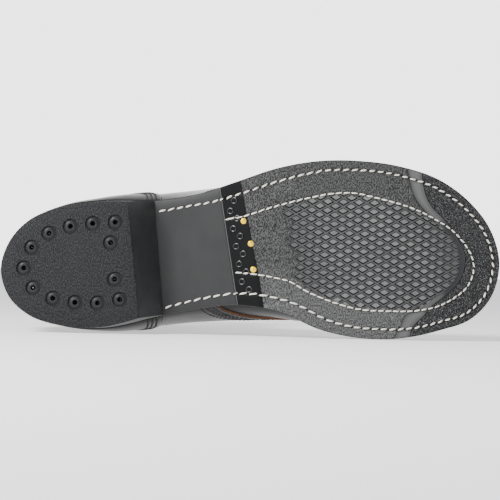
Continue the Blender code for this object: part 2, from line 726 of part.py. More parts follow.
def build_panels():
    cap_run = feather_run(CAP_SEAM_FOOT[0], BEYOND_TOE_X)
    cap_outline = [CAP_SEAM_TOP] + cap_run + [(BEYOND_TOE_X, CAP_SEAM_TOP[1])]
    panel("toe_cap", PANEL_THICK["toe_cap"], [(prism("cap", cap_outline), "INTERSECT")])

    counter_edge = [tuple(p) for p in open_curve(COUNTER_EDGE, PANEL_EDGE_POINTS)]
    counter_outline = counter_edge + feather_run(COUNTER_EDGE[-1][0], COUNTER_EDGE[0][0])
    panel("counter", PANEL_THICK["counter"], [(prism("counter_form", counter_outline), "INTERSECT")])

    binding_back, binding_front = binding_line()
    band = [
        binding_back,
        binding_front,
        (binding_front[0], ABOVE_COLLAR_Z),
        (binding_back[0], ABOVE_COLLAR_Z),
    ]
    panel("collar_binding", PANEL_THICK["collar_binding"], [(prism("band", band), "INTERSECT")])

    below_binding = [(x, z - GAP) for x, z in (binding_front, binding_back)]
    above_counter = [(x + GAP, z + GAP) for x, z in counter_edge]
    back_strip = [(x, z) for x, z in above_counter if x < BACKSTAY_FRONT_X]
    back_strip += [(BACKSTAY_FRONT_X, back_strip[-1][1]), (BACKSTAY_FRONT_X, below_binding[0][1])]
    back_strip.append(below_binding[1])
    strip = seam_strip("strip", back_strip, BACKSTAY_HALF_WIDTH)
    panel("backstay", PANEL_THICK["backstay"], [(strip, "INTERSECT")])

    vamp_seam = [tuple(p) for p in open_curve(VAMP_SEAM, PANEL_EDGE_POINTS)]
    foot_run = feather_run(above_counter[-1][0], vamp_seam[0][0])
    quarter_outline = above_counter + foot_run + vamp_seam + below_binding
    cut_outline = [
        (BACKSTAY_CUT["back_x"], BACKSTAY_CUT["low_z"]),
        (BACKSTAY_CUT["front_x"], BACKSTAY_CUT["low_z"]),
        (BACKSTAY_CUT["front_x"], ABOVE_COLLAR_Z),
        (BACKSTAY_CUT["back_x"], ABOVE_COLLAR_Z),
    ]
    middle = section_value("crest_y", THROAT_U)
    sides = {
        "medial": (middle + GAP / 2, middle + PANEL_REACH),
        "lateral": (middle - PANEL_REACH, middle - GAP / 2),
    }
    for side, (low_y, high_y) in sides.items():
        form = prism("quarter_form", quarter_outline, low_y, high_y)
        strip_cut = seam_strip("strip_cut", cut_outline, BACKSTAY_HALF_WIDTH + GAP)
        tools = [(form, "INTERSECT"), (strip_cut, "DIFFERENCE")]
        panel(f"quarter_{side}", PANEL_THICK["quarter"], tools)


def build_tongue():
    outer = -(LEATHER_WALL + 2 * GAP)

    def in_tongue(u, j):
        return u >= TONGUE_START and CREST_COLUMN - 2 <= j <= CREST_COLUMN + 1

    return shell("tongue", outer - TONGUE_THICK, outer, in_tongue, BLACK_LEATHER)


def surface_frame(u, side, distance):
    """A point on the upper's outer face with its outward normal and its direction up the boot."""
    step_u, step_d = 0.05, 0.5
    here = from_crest(u, side, distance)
    up = from_crest(u + step_u, side, distance) - from_crest(u - step_u, side, distance)
    outwards = from_crest(u, side, distance + step_d) - from_crest(u, side, max(distance - step_d, 0.0))
    normal = np.cross(outwards, up) if side == "medial" else np.cross(up, outwards)
    return here, normal / np.linalg.norm(normal), up / np.linalg.norm(up)


def throat_line():
    """Distances up the line of eyelets and the section at each, from the throat's base to the collar."""
    u = np.linspace(THROAT_U, COLLAR_U, 80)
    line = np.array([from_crest(v, "medial", EYELET_FROM_CREST) for v in u])
    return np.concatenate([[0], np.cumsum(np.linalg.norm(np.diff(line, axis=0), axis=1))]), u


def eyelet_heights(along):
    """Where each pair of eyelets lies up the throat, evenly spaced between its base and the collar."""
    return np.linspace(EYELET_MARGIN, along[-1] - EYELET_MARGIN - BINDING_DEPTH, EYELET_PAIRS)


def build_eyelets(rows):
    base = PANEL_THICK["quarter"] + 2 * GAP
    profile = (
        (EYELET_HOLE_RADIUS, base),
        (EYELET_RADIUS, base),
        (EYELET_RADIUS - EYELET_BEVEL, base + EYELET_THICK),
        (EYELET_HOLE_RADIUS, base + EYELET_THICK),
    )
    for side in ("lateral", "medial"):
        for number, u in enumerate(rows, 1):
            centre, normal, up = surface_frame(u, side, EYELET_FROM_CREST)
            across = np.cross(up, normal)
            points = []
            for turn in np.linspace(0, 2 * math.pi, EYELET_SIDES, endpoint=False):
                out = across * math.cos(turn) + up * math.sin(turn)
                points += [centre + out * r + normal * h for r, h in profile]
            faces = []
            for i in range(EYELET_SIDES):
                here, there = 4 * i, 4 * ((i + 1) % EYELET_SIDES)
                faces += [
                    (here + j, here + (j + 1) % 4, there + (j + 1) % 4, there + j) for j in range(4)
                ]
            mesh_object(f"eyelet_{side}_{number:02d}", points, faces, EYELET_BLACK)


def strand(name, start, end, finish=None):
    """A lace's run over the throat, between two (u, signed distance from the crest) places."""
    height = PANEL_THICK["quarter"] + 2 * GAP + EYELET_THICK + LACE_CLEAR + LACE_RADIUS
    centres, normals = [], []
    for share in np.linspace(0, 1, LACE_POINTS):
        u, d = (a + share * (b - a) for a, b in zip(start, end))
        side = "medial" if d >= 0 else "lateral"
        here, normal, up = surface_frame(u, side, max(abs(d), 0.6))
        centres.append(here + normal * height)
        normals.append(normal)
    run = np.gradient(np.array(centres), axis=0)
    points = []
    for here, normal, way in zip(centres, normals, run):
        across = np.cross(normal, way)
        across /= np.linalg.norm(across)
        upright = np.cross(way, across)
        upright /= np.linalg.norm(upright)
        for turn in np.linspace(0, 2 * math.pi, LACE_SIDES, endpoint=False):
            points.append(here + (across * math.cos(turn) + upright * math.sin(turn)) * LACE_RADIUS)
    return mesh_object(name, points, strip_faces(LACE_POINTS, LACE_SIDES), finish)


def build_lace(along, sections):
    """A bar at the throat's base and a crossing over each space between two pairs of eyelets."""
    reach = EYELET_FROM_CREST
    heights = eyelet_heights(along)
    bottom = float(np.interp(heights[0], along, sections))
    strand("lace_bar", (bottom, -reach), (bottom, reach), LACE_BLACK)
    for number, (low, high) in enumerate(zip(heights, heights[1:]), 1):
        start_gap = LACE_END_GAP * (LACE_BAR_SPACING if number == 1 else 1.0)
        start = float(np.interp(low + start_gap, along, sections))
        end = float(np.interp(high - LACE_END_GAP, along, sections))
        made = strand(f"lace_cross_{number}", (start, -reach), (end, reach), LACE_BLACK)
        other = strand("crossing", (start, reach), (end, -reach))
        boolean(made, other, "UNION")
        discard(other)
        finish_mesh(made)


def share_of_corners(corners, x, z):
    """How a side-view place divides between three corners: no share is below 0 inside their triangle."""
    corners = np.array(corners)
    rows = np.stack([np.ones(3), corners[:, 0], corners[:, 2]])
    return np.linalg.solve(rows, np.array([1.0, x, z]))


def resting_side(points):
    """Outward normal of the plane that the medial side rests on. The three points that hold it up have the
    balance point between them and no other point beyond them. The search starts from far corners and moves
    one at a time to the point that stands out most."""
    cloud = np.array(points) / MM
    far = FAR_CORNER
    corners = [(-far, -far, -far), (far, -far, -far), (0.0, -far, 2 * far)]
    while True:
        rows = np.array([(1.0, x, z) for x, y, z in corners])
        level, slope_x, slope_z = np.linalg.solve(rows, np.array([y for x, y, z in corners]))
        beyond = cloud[:, 1] - level - slope_x * cloud[:, 0] - slope_z * cloud[:, 2]
        furthest = int(np.argmax(beyond))
        if beyond[furthest] < REST_TOLERANCE:
            break
        point = tuple(cloud[furthest])
        trials = [corners[:k] + [point] + corners[k + 1:] for k in range(3)]
        inside = [min(share_of_corners(t, BALANCE_POINT[0], BALANCE_POINT[2])) for t in trials]
        corners = trials[int(np.argmax(inside))]
    return Vector((-slope_x, 1.0, -slope_z)).normalized()


def lay_down(parts):
    """Lays the boot on its medial side on the floor, toe towards +X, with the origin under its middle."""
    bpy.context.view_layer.update()
    points = [v.co.copy() for part in parts for v in part.data.vertices]
    down = resting_side(points)
    toe = Vector((1, 0, 0)) - down * down.x
    toe.normalize()
    up = -down
    turn = Matrix((toe, up.cross(toe), up))
    laid = np.array([turn @ p for p in points])
    low, high = laid.min(0), laid.max(0)
    shift = Vector((-(low[0] + high[0]) / 2, -(low[1] + high[1]) / 2, -low[2]))
    rest = bpy.data.objects.new("boot", None)
    bpy.context.scene.collection.objects.link(rest)
    rest.matrix_world = Matrix.Translation(shift) @ turn.to_4x4()
    for part in parts:
        part.parent = rest
    return rest


def main():
    for old in list(bpy.data.objects):
        bpy.data.objects.remove(old)
    build_outsole()
    build_insole()
    build_welt()
    build_tap()
    build_heel()
    build_brass_nails()
    shell("upper", -LEATHER_WALL, 0.0, in_upper, BLACK_LEATHER)
    build_panels()
    build_tongue()
    along, sections = throat_line()
    build_eyelets(np.interp(eyelet_heights(along), along, sections))
    build_lace(along, sections)
    lay_down([made for made in bpy.data.objects if made.type == "MESH"])


main()
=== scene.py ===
"""Looks of a right jump boot that lies on its medial side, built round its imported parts.

Everything is worked out in the boot's own frame, in millimetres: x runs from the heel's back edge to the
toe, y to the medial side and z up from the tread. Two mounts on the tread say where that frame lies.
"""

import json
import math

import bpy
import numpy as np
from mathutils import Matrix, Vector


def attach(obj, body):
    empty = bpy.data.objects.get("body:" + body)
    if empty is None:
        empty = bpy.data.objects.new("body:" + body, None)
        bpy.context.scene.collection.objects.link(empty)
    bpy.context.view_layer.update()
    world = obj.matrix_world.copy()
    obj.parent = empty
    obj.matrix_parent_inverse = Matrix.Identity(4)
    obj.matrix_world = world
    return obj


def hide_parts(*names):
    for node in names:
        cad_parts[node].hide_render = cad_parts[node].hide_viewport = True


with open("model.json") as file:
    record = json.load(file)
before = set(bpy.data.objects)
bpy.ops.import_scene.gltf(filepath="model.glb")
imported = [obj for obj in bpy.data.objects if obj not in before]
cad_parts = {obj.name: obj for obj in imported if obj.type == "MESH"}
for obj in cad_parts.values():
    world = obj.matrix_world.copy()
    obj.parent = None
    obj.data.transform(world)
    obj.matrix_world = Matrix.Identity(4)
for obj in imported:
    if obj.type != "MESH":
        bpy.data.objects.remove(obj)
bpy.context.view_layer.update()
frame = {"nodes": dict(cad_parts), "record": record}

MM = 0.001
GAP = 0.3
RANDOM = np.random.default_rng(7)

# Places of the two tread mounts in the boot's frame
HEEL_TREAD = (40.0, 9.0)
FOREFOOT_TREAD = (212.0, 2.0)

# Sole: plan outline and the height of the outsole's underside
HEEL_BACK = (-1.0, 11.6)
TOE_TIP = (307.5, 9.8)
SOLE_COLUMNS = ("x", "lateral", "medial", "welt")
SOLE_STATIONS = (
    (5.0, -6.8, 30.4, 2.0),
    (16.0, -18.6, 40.4, 2.0),
    (36.5, -27.4, 47.4, 2.0),
    (61.0, -30.7, 48.8, 2.0),
    (98.0, -31.3, 41.0, 2.2),
    (122.0, -35.1, 36.2, 2.5),
    (145.0, -42.2, 34.0, 3.5),
    (171.0, -50.6, 38.2, 5.0),
    (196.0, -54.7, 49.0, 6.0),
    (220.0, -54.7, 54.1, 6.5),
    (245.0, -51.3, 54.3, 6.5),
    (270.0, -42.9, 49.4, 6.8),
    (289.0, -29.1, 42.8, 7.0),
    (301.3, -13.4, 30.6, 7.0),
)
SOLE_LINE = (
    (-1.0, 26.5), (60.0, 26.5), (92.0, 25.0), (112.0, 19.5), (135.0, 12.0), (160.0, 6.4), (188.0, 4.8),
    (232.0, 4.8), (258.0, 7.0), (280.0, 11.5), (307.5, 19.5),
)
OUTSOLE_THICK = 5.0
OUTSOLE_EDGE_RADIUS = 0.9
WELT_THICK = 3.0
WELT_UNDER_UPPER = 4.5
WELT_EDGE_RADIUS = 0.7
WELT_SEAM_SHARE = 0.55
WELT_SEAM_START = 118.0

# Half sole
TAP_THICK = 4.5
TAP_BACK_X = {"lateral": 134.0, "medial": 145.0}
TAP_SKIVE_LENGTH = 14.0
TAP_SKIVE_THICK = 2.4
TAP_EDGE_RADIUS = 0.8
TAP_CORNER = ((0.55, 0.06), (0.28, 0.24), (0.08, 0.5), (0.0, TAP_EDGE_RADIUS))
TAP_CORNER_INK = (0.2, 0.6, 0.9, 1.0, 1.0)
TAP_AROUND = 720
TAP_ACROSS = 46
STITCH_CHANNEL = 0.35
STITCH_CHANNEL_WIDTH = 0.9
STRIP_SUNK = 0.4
CRESCENT_DEPTH = 0.55
CRESCENT_X = (265.0, 278.0)

# Heel
HEEL_BOTTOM_INSET = 1.0
HEEL_MEDIAL_CORNER_INSET = 2.4
HEEL_CORNER_START_X = 50.0
HEEL_TOP_INSET = 0.3
BREAST_BOTTOM_X = {"lateral": 78.0, "medial": 85.0}
BREAST_TOP_X = {"lateral": 93.3, "medial": 99.0}
NAIL_RING_COUNT = 11
NAIL_RING_INSET = 14.2
NAIL_RING_SHIFT_Y = -1.2
NAIL_RING_LATERAL_X = 72.2
NAIL_RING_MEDIAL_X = 74.7
INNER_NAILS = ((67.5, -4.5), (69.9, 17.9))
HEEL_EDGE_RADIUS = 0.7
HEEL_CORNER = ((HEEL_EDGE_RADIUS, 0.0), (0.2, 0.14))
HEEL_SIDE_POINTS = 60
HEEL_WALL_ROWS = 10
HEEL_SHARP = 30.0
# A nail's recess, with a low dome in it and the nail's hole in the dome, as (radius, depth)
NAIL_BOWL = (
    (5.9, -1.0), (4.75, 0.0), (4.6, 0.35), (4.45, 0.95), (4.25, 1.3), (3.9, 1.25), (3.2, 0.85),
    (2.5, 0.48), (1.95, 0.36), (1.6, 0.45), (1.38, 0.9), (1.25, 8.0),
)
BOWL_SIDES = 36
BOWL_REACH = 5.48
STEEL_HEAD = ((1.2, 5.6), (0.95, 5.1), (0.5, 4.7), (0.05, 4.5))
STEEL_SUNK = (-3.4, 0.4)

# Upper: one row a section, as in the part
SECTION_COLUMNS = (
    "back_x", "rise", "front_x", "front_z", "lateral", "medial", "crest_y", "widest", "roof",
)
SECTIONS = {
    "toe_tip": (299.6, 0, 299.6, 32.0, 2.6, 17.4, 10.0, 0.40, 2.0),
    "toe_face": (297.2, 0, 297.0, 41.5, -4.6, 25.0, 10.0, 0.40, 2.1),
    "toe_dome": (291.0, 0, 290.0, 50.5, -16.2, 33.6, 10.0, 0.40, 2.2),
    "toe_top": (279.0, 0, 277.5, 57.0, -29.0, 41.0, 9.0, 0.40, 2.3),
    "cap": (260.0, 0, 258.5, 61.0, -41.5, 47.2, 8.0, 0.40, 2.3),
    "vamp": (236.0, 0, 235.5, 64.5, -48.3, 50.0, 7.0, 0.40, 2.2),
    "ball": (210.0, 0, 212.0, 70.0, -50.6, 48.0, 6.0, 0.40, 2.1),
    "throat": (183.0, 0, 189.0, 80.0, -49.0, 44.8, 5.0, 0.42, 1.95),
    "instep": (158.0, 0, 168.0, 96.0, -43.5, 42.6, 5.0, 0.42, 1.9),
    "waist": (132.0, 0, 150.0, 115.5, -39.4, 43.6, 6.0, 0.42, 1.9),
    "arch_back": (105.0, 0, 138.5, 133.0, -37.0, 44.8, 7.0, 0.40, 1.95),
    "heel_front": (72.0, 0, 132.0, 146.5, -34.6, 46.8, 7.4, 0.37, 2.0),
    "heel_mid": (38.0, 0, 129.0, 156.0, -31.6, 47.0, 7.6, 0.36, 2.0),
    "heel_rear": (14.0, 0, 127.5, 163.5, -29.6, 46.6, 7.6, 0.35, 2.0),
    "heel_back": (1.0, 0, 126.5, 170.0, -28.4, 46.2, 7.6, 0.35, 2.0),
    "seat": (0.7, 8.0, 126.3, 173.5, -28.3, 46.0, 7.6, 0.355, 2.0),
    "counter": (-1.4, 22.0, 126.0, 180.0, -28.2, 45.8, 7.6, 0.365, 2.0),
    "ankle": (-2.8, 42.0, 125.5, 191.0, -28.4, 45.6, 7.6, 0.38, 2.0),
    "achilles": (3.0, 70.0, 125.0, 204.0, -30.2, 46.4, 7.6, 0.42, 2.0),
    "shaft_low": (6.0, 105.0, 125.0, 219.0, -32.8, 47.8, 7.6, 0.45, 2.0),
    "shaft_mid": (4.0, 145.0, 125.5, 234.0, -34.3, 49.0, 7.6, 0.47, 2.0),
    "shaft_top": (0.0, 190.0, 126.5, 250.0, -35.4, 49.8, 7.6, 0.48, 2.0),
    "collar": (-4.0, 237.0, 128.0, 266.0, -36.0, 50.2, 7.6, 0.49, 2.0),
    "tongue_tip": (-5.5, 249.0, 129.5, 277.0, -36.3, 50.4, 7.6, 0.49, 2.0),
}
SECTION_NAMES = tuple(SECTIONS)
HEEL_BACK_U = SECTION_NAMES.index("heel_back")
THROAT_U = SECTION_NAMES.index("throat")
COLLAR_U = SECTION_NAMES.index("collar")
SLOT_HALF_WIDTH = 12.0
SLOT_SHARE_LIMIT = 0.3
SLOT_ROW_LENGTH = 25.0
LEATHER_WALL = 2.4
PANEL_THICK = {"quarter": 1.2, "toe_cap": 1.5, "counter": 2.4, "backstay": 2.0, "collar_binding": 2.2}
CAP_SEAM = ((254.0, 90.0), (246.0, 14.0))
COUNTER_EDGE = (
    (-30.0, 100.0), (20.0, 95.0), (60.0, 85.0), (86.0, 72.0), (95.0, 55.0), (97.0, 40.0), (97.0, 10.0),
)
VAMP_SEAM = (
    (132.0, 24.5), (137.0, 31.0), (150.0, 40.0), (176.0, 50.0), (198.0, 60.0), (205.0, 72.0), (206.0, 100.0),
)
BINDING_DEPTH = 10.0
BACKSTAY_HALF_WIDTH = 9.0
PANEL_BASE = GAP * 0.3
BELOW_FEATHER_Z = -20.0

# Fineness of the upper's grid
SECTION_DETAIL = 70
RINGS_PER_ROW = 10
SLOT_COLUMNS = 6
SIDE_COLUMNS = 50
FOOT_CROWDING = 1.3
TIP_SHARES = (0.02, 0.2, 0.4, 0.6, 0.8, 0.93)
TIP_BULGE = 0.9

# Soft creases of the upper: across the vamp by x at the top and at the foot, round the ankle by z
VAMP_CREASES = ((229.0, 221.0, 1.1, 3.2), (214.0, 203.0, 1.7, 3.8), (199.0, 186.0, 1.3, 3.4))
ANKLE_CREASES = (
    (((20.0, 112.0), (70.0, 116.0), (120.0, 136.0), (150.0, 142.0)), 1.6, 6.0),
    (((15.0, 133.0), (60.0, 142.0), (105.0, 152.0), (140.0, 172.0)), 1.3, 7.0),
    (((60.0, 170.0), (95.0, 176.0), (130.0, 196.0)), 0.9, 7.0),
    (((105.0, 96.0), (130.0, 104.0), (158.0, 110.0)), 1.1, 5.0),
)

# Tongue, eyelets and lace
TONGUE_START = THROAT_U - 0.5
TONGUE_THICK = 2.0
TONGUE_SINK = 1.6
TONGUE_HALF_WIDTH = 24.0
EYELET_PAIRS = 10
EYELET_FROM_CREST = SLOT_HALF_WIDTH + 9.0
EYELET_MARGIN = 12.0
EYELET_HOLE_RADIUS = 2.3
EYELET_RADIUS = 4.2
LACE_HOLE = EYELET_HOLE_RADIUS + 0.15
LACE_HALF_WIDTH = 1.9
LACE_HALF_THICK = 0.8
# A strand's rise above the upper's face, by its distance from the crest
LACE_OVER = ((21.0, -2.4), (20.4, 0.8), (18.3, 3.2), (12.5, 3.1), (6.0, 0.6))
LACE_UNDER = ((6.0, -2.9), (12.5, -3.5), (18.0, -3.7), (20.6, -3.3), (21.0, -2.4))
LACE_BAR_RISE = 0.2
LACE_CROSS_RISE = -1.9
LACE_CROSS_LIFT = 0.95

# Tread of the half sole: the two diagonals of its diamonds and the middle of one of them
DIAMOND_LONG = np.array((9.5, 0.3))
DIAMOND_SHORT = np.array((-0.35, 5.45))
DIAMOND_ORIGIN = np.array((200.8, -29.7))
TREAD_BACK = ((175.0, -26.4), (177.9, -5.9), (183.6, 20.2))
# From a diamond's middle out: its top, the groove round it and the rib, as shares of a side.
# The grooves are wide on the medial sides of each diamond and narrow on its lateral sides.
DIAMOND_WIDE = (0.0, 0.262, 0.30, 0.395, 0.43, 0.5)
DIAMOND_NARROW = (0.0, 0.30, 0.33, 0.355, 0.385, 0.5)
DIAMOND_DEPTHS = (0.0, 0.0, 1.1, 1.1, 0.28, 0.22)
TREAD_DEPTH = 1.1
TREAD_EDGE = (
    (170.0, -25.6), (187.7, -30.3), (206.0, -33.5), (217.3, -33.5), (230.6, -30.6), (256.8, -22.6),
    (270.9, -12.9), (276.1, -7.7), (280.1, -0.3), (281.2, 5.7), (281.0, 11.8), (278.8, 16.9), (273.9, 22.6),
    (266.0, 29.0), (255.0, 35.2), (235.5, 36.0), (220.1, 35.0), (203.2, 30.4), (188.4, 24.3), (177.0, 17.4),
    (172.0, 9.0), (169.0, -8.0),
)
TREAD_MIDDLE = np.array((222.0, 2.0))
TREAD_FADE_X = (258.0, 281.0)
TREAD_BACK_FADE = (26.0, 4.0)
TREAD_UNDERLAP = 2.4
TREAD_SINK = 0.03

# Sole seams: the outer one by x and its distance from the sole's lateral and medial edges, the inner one
# by its places
OUTER_SEAM_INSET = (
    (93.0, 7.0, 4.2), (115.0, 6.2, 5.3), (135.0, 7.6, 6.5), (152.0, 8.0, 7.7), (172.0, 8.0, 8.0),
    (184.0, 7.2, 8.4), (200.0, 6.1, 7.0), (215.0, 5.9, 6.4), (232.0, 5.5, 6.4), (256.0, 5.7, 5.2),
    (275.0, 5.4, 5.2), (290.0, 4.9, 4.7), (303.0, 4.3, 4.3),
)
OUTER_SEAM_START = {"lateral": 93.6, "medial": 99.0}
INNER_SEAM = (
    (137.6, -18.9), (145.8, -20.0), (165.7, -26.0), (187.7, -31.6), (206.0, -34.8), (217.3, -34.8),
    (230.6, -31.9), (256.8, -23.9), (268.2, -18.0), (277.9, -11.6), (285.8, -2.9), (289.8, 4.4),
    (291.0, 10.2), (289.8, 17.0), (285.8, 23.9), (279.2, 29.1), (269.5, 34.2), (256.1, 37.1),
    (235.5, 37.4), (220.1, 36.4), (203.2, 31.8), (188.4, 25.7), (175.7, 18.8), (169.1, 17.2),
    (155.8, 14.9), (143.1, 13.7),
)
# Smooth strip across the forefoot and round the tread's front: its two edges, from lateral to medial
STRIP_BACK = (
    (249.0, -52.0), (250.8, -42.1), (252.6, -35.5), (255.4, -29.8), (261.5, -22.4), (270.9, -12.9),
    (276.1, -7.7), (280.1, -0.3), (281.2, 5.7), (281.0, 11.8), (278.8, 16.9), (273.9, 22.6), (266.0, 29.0),
    (257.3, 35.0), (248.0, 40.5), (244.9, 46.6), (240.0, 56.0),
)
STRIP_FRONT = (
    (258.5, -50.0), (259.1, -42.1), (262.0, -31.1), (264.8, -26.5), (274.1, -17.2), (281.9, -5.1),
    (285.4, 2.3), (285.6, 8.3), (283.6, 16.1), (279.2, 22.6), (272.6, 28.6), (264.7, 34.6), (259.7, 40.5),
    (253.6, 46.6), (250.0, 56.0),
)
# Smooth band along the half sole's back edge, with its moulded rings and nails
BAND_FRONT = ((145.5, -50.0), (149.8, -27.7), (155.1, 0.3), (159.1, 20.3), (162.5, 45.0))
RING_ROWS = {
    "back": ((140.7, -24.0), (147.9, 19.5), 5),
    "front": ((143.0, -30.4), (152.3, 24.3), 6),
}
MOULDED_RING_RADIUS = 1.65
RING_SECTION = (0.42, 0.45)
RING_SUNK = 0.15
BRASS_NAILS = ((149.0, -17.8), (153.4, -3.9), (155.0, 12.0))
BRASS_NAIL_RADIUS = 1.85

# Stitches: the shape of one, then length, width and height, and length and width of a needle hole
STITCH_SHARES = (-1.0, -0.92, -0.6, 0.0, 0.6, 0.92, 1.0)
STITCH_SWELL = (0.15, 0.6, 0.95, 1.0, 0.95, 0.6, 0.15)
STITCH_SIDES = 8
STITCH_LEAN_SPREAD = 0.05
STITCH_LENGTH_SPREAD = (0.9, 1.06)
OUTER_STITCH = (4.0, 1.08, 0.68)
OUTER_HOLE = (1.6, 1.1)
INNER_STITCH = (3.85, 0.92, 0.53)
INNER_HOLE = (0.9, 0.8)
WELT_STITCH = (3.4, 1.0, 0.5)
UPPER_STITCH = (2.4, 0.9, 0.5)
# Pitches from stitch to stitch
WAIST_PITCH = {"lateral": 5.9, "medial": 6.5}
TOE_PITCH = 4.9
WELT_PITCH = 4.2
UPPER_PITCH = 2.9
# Rows of stitches on the upper, by their distance from a panel's edge
COUNTER_ROWS = (3.2, 5.9, 8.6)
VAMP_ROWS = (1.5, 3.5, 5.6, 7.6, 11.0)
CAP_ROWS = (2.0, 4.4)
BACKSTAY_ROWS = (2.2,)
EYESTAY_ROWS = (2.2, 17.5)
BINDING_ROW = 2.4
# Steps inwards from the edge of a sheet of leather, which round it
EDGE_STEPS = (0.0, 0.12, 0.4, 0.9)
CUT_STEPS = (0.0, 0.06, 0.18, 0.35)
WALL_STEPS = (0.0, 0.4, 1.0)
RAW_EDGE_REACH = 1.8

# Photograph: the camera's distance from the tread and the width that its frame takes in there
CAMERA_MIDDLE = (152.9, 0.0)
CAMERA_DISTANCE = 1400.0
FRAME_WIDTH = 306.5
SENSOR_MM = 36.0

# Light: the world by depth and by height, each as two levels and the strength at both, the lamp, the floor
WORLD_DEPTH = (-0.1, 0.5, 0.35, 3.4)
WORLD_HEIGHT = (0.14, 0.4, 1.0, 0.22)
KEY_LIGHT = 36.0
KEY_SIZE = 0.5
KEY_PLACE = (-600.0, -820.0, -780.0)
KEY_AIM = (150.0, 0.0, 0.0)
FLOOR_GLOW = 0.9
FLOOR_Z = -0.25
FLOOR_HALF = 20.0

# Colours, as the surface's own share of light in red, green and blue; a few are painted shade or painted
# highlights, as their names say
GRAIN_DARK = (0.0125, 0.0128, 0.0134)
GRAIN_LIGHT = (0.106, 0.1072, 0.108)
GRAIN_RUBBED = (0.17, 0.172, 0.173)
GRAIN_WORN = (0.052, 0.0525, 0.053)
TOE_DARK = (0.0121, 0.0127, 0.0138)
TOE_LIGHT = (0.1843, 0.1877, 0.1895)
STRIP_LIT_GREY = (0.112, 0.1134, 0.1134)
CRESCENT_GREY = (0.0323, 0.0333, 0.0361)
STRIP_SHADED_GREY = (0.072, 0.0728, 0.0736)
BOSS_DARK = (0.115, 0.1169, 0.1181)
BOSS_LIGHT = (0.1574, 0.16, 0.1614)
BOSS_WORN = (0.078, 0.0793, 0.0806)
RIB_GREY = (0.0655, 0.0667, 0.068)
GROOVE_SHADE = (0.0072, 0.0074, 0.0077)
BAND_GREY = (0.004, 0.0042, 0.0047)
BACK_EDGE_HIGHLIGHT = (0.1134, 0.1149, 0.1149)
STRIP_EDGE_SHADE = (0.01, 0.01, 0.0105)
EDGE_BLACK = (0.009, 0.009, 0.0095)
EDGE_WORN = (0.02, 0.0195, 0.019)
HEEL_LIGHT = (0.0289, 0.0298, 0.0314)
HEEL_DARK = (0.0065, 0.0068, 0.0075)
HEEL_WORN = (0.0203, 0.021, 0.0222)
BOWL_DARK = (0.018, 0.0185, 0.0195)
BOWL_LIGHT = (0.024, 0.0245, 0.0259)
BREAST_DARK = (0.0294, 0.0306, 0.0328)
BREAST_LIGHT = (0.0405, 0.0416, 0.0442)
SHANK_DARK = (0.0239, 0.0244, 0.0252)
SHANK_LIGHT = (0.0276, 0.0279, 0.0289)
THREAD_WHITE = (0.95, 0.925, 0.84)
THREAD_SOIL = (0.5, 0.47, 0.4)
NEEDLE_HOLE_SHADE = (0.004, 0.004, 0.004)
THREAD_BLACK = (0.016, 0.016, 0.017)
THREAD_BLACK_LIGHT = (0.045, 0.045, 0.047)
BRASS_LIGHT = (1.0, 0.7, 0.03)
BRASS_DARK = (0.95, 0.6, 0.02)
BRASS_METALLIC = 0.3
STEEL_LIGHT = (0.34, 0.32, 0.29)
STEEL_DARK = (0.1, 0.097, 0.09)
RAW_DARK = (0.13, 0.047, 0.018)
RAW_LIGHT = (0.245, 0.105, 0.044)
TAN_DARK = (0.30, 0.18, 0.095)
TAN_LIGHT = (0.40, 0.255, 0.145)
TAN_FIBRE = (0.24, 0.14, 0.07)
LACE_DARK = (0.006, 0.006, 0.0065)
LACE_LIGHT = (0.028, 0.028, 0.03)
EYELET_DARK = (0.022, 0.022, 0.023)
EYELET_LIGHT = (0.05, 0.05, 0.052)
FLOOR_DARK = (0.8, 0.8, 0.8)
FLOOR_LIGHT = (0.84, 0.84, 0.84)


def boot_to_row():
    """The boot's frame in the row's frame, from the two mounts on the tread."""
    mounts = {mount["name"]: mount for mount in frame["record"]["mounts"]}
    heel = Vector(mounts["heel_tread"]["pos_m"])
    forefoot = Vector(mounts["forefoot_tread"]["pos_m"])
    up = -Vector(mounts["heel_tread"]["axis"]).normalized()
    run = Vector(FOREFOOT_TREAD) - Vector(HEEL_TREAD)
    toe = Matrix.Rotation(-math.atan2(run.y, run.x), 3, up) @ (forefoot - heel)
    toe = (toe - up * toe.dot(up)).normalized()
    made = Matrix((toe, up.cross(toe), up)).transposed().to_4x4()
    made.translation = heel - made.to_3x3() @ Vector((*HEEL_TREAD, 0.0)) * MM
    return made


BOOT = boot_to_row()


def column(name, names, rows):
    """One named column of a table, as an array."""
    return np.array([row[names.index(name)] for row in rows], float)


def smooth(table_x, table_y, x):
    """Monotone cubic through the table's points: flat stretches stay flat and nothing overshoots."""
    table_x = np.asarray(table_x, float)
    table_y = np.asarray(table_y, float)
    step = np.diff(table_x)
    slope = np.diff(table_y) / step
    tangent = np.empty_like(table_y)
    tangent[0] = slope[0]
    tangent[-1] = slope[-1]
    before, after = slope[:-1], slope[1:]
    same_way = before * after > 0
    harmonic = 2 * before * after / np.where(same_way, before + after, 1.0)
    tangent[1:-1] = np.where(same_way, harmonic, 0.0)
    x = np.clip(np.asarray(x, float), table_x[0], table_x[-1])
    cell = np.clip(np.searchsorted(table_x, x, side="right") - 1, 0, len(step) - 1)
    t = (x - table_x[cell]) / step[cell]
    rise = (3 - 2 * t) * t * t
    start = t * (1 - t) ** 2 * step[cell] * tangent[cell]
    end = t * t * (t - 1) * step[cell] * tangent[cell + 1]
    return table_y[cell] * (1 - rise) + table_y[cell + 1] * rise + start + end


def blend(value, low, high):
    """A soft step from 0 at low to 1 at high."""
    t = np.clip((np.asarray(value, float) - low) / (high - low), 0, 1)
    return t * t * (3 - 2 * t)


def lengths_along(line):
    return np.concatenate([[0], np.cumsum(np.linalg.norm(np.diff(line, axis=0), axis=1))])


def interpolate(values, along, at):
    """Rows of values at distances, where along holds each row's own distance."""
    return np.stack([np.interp(at, along, one) for one in values.T], axis=-1)


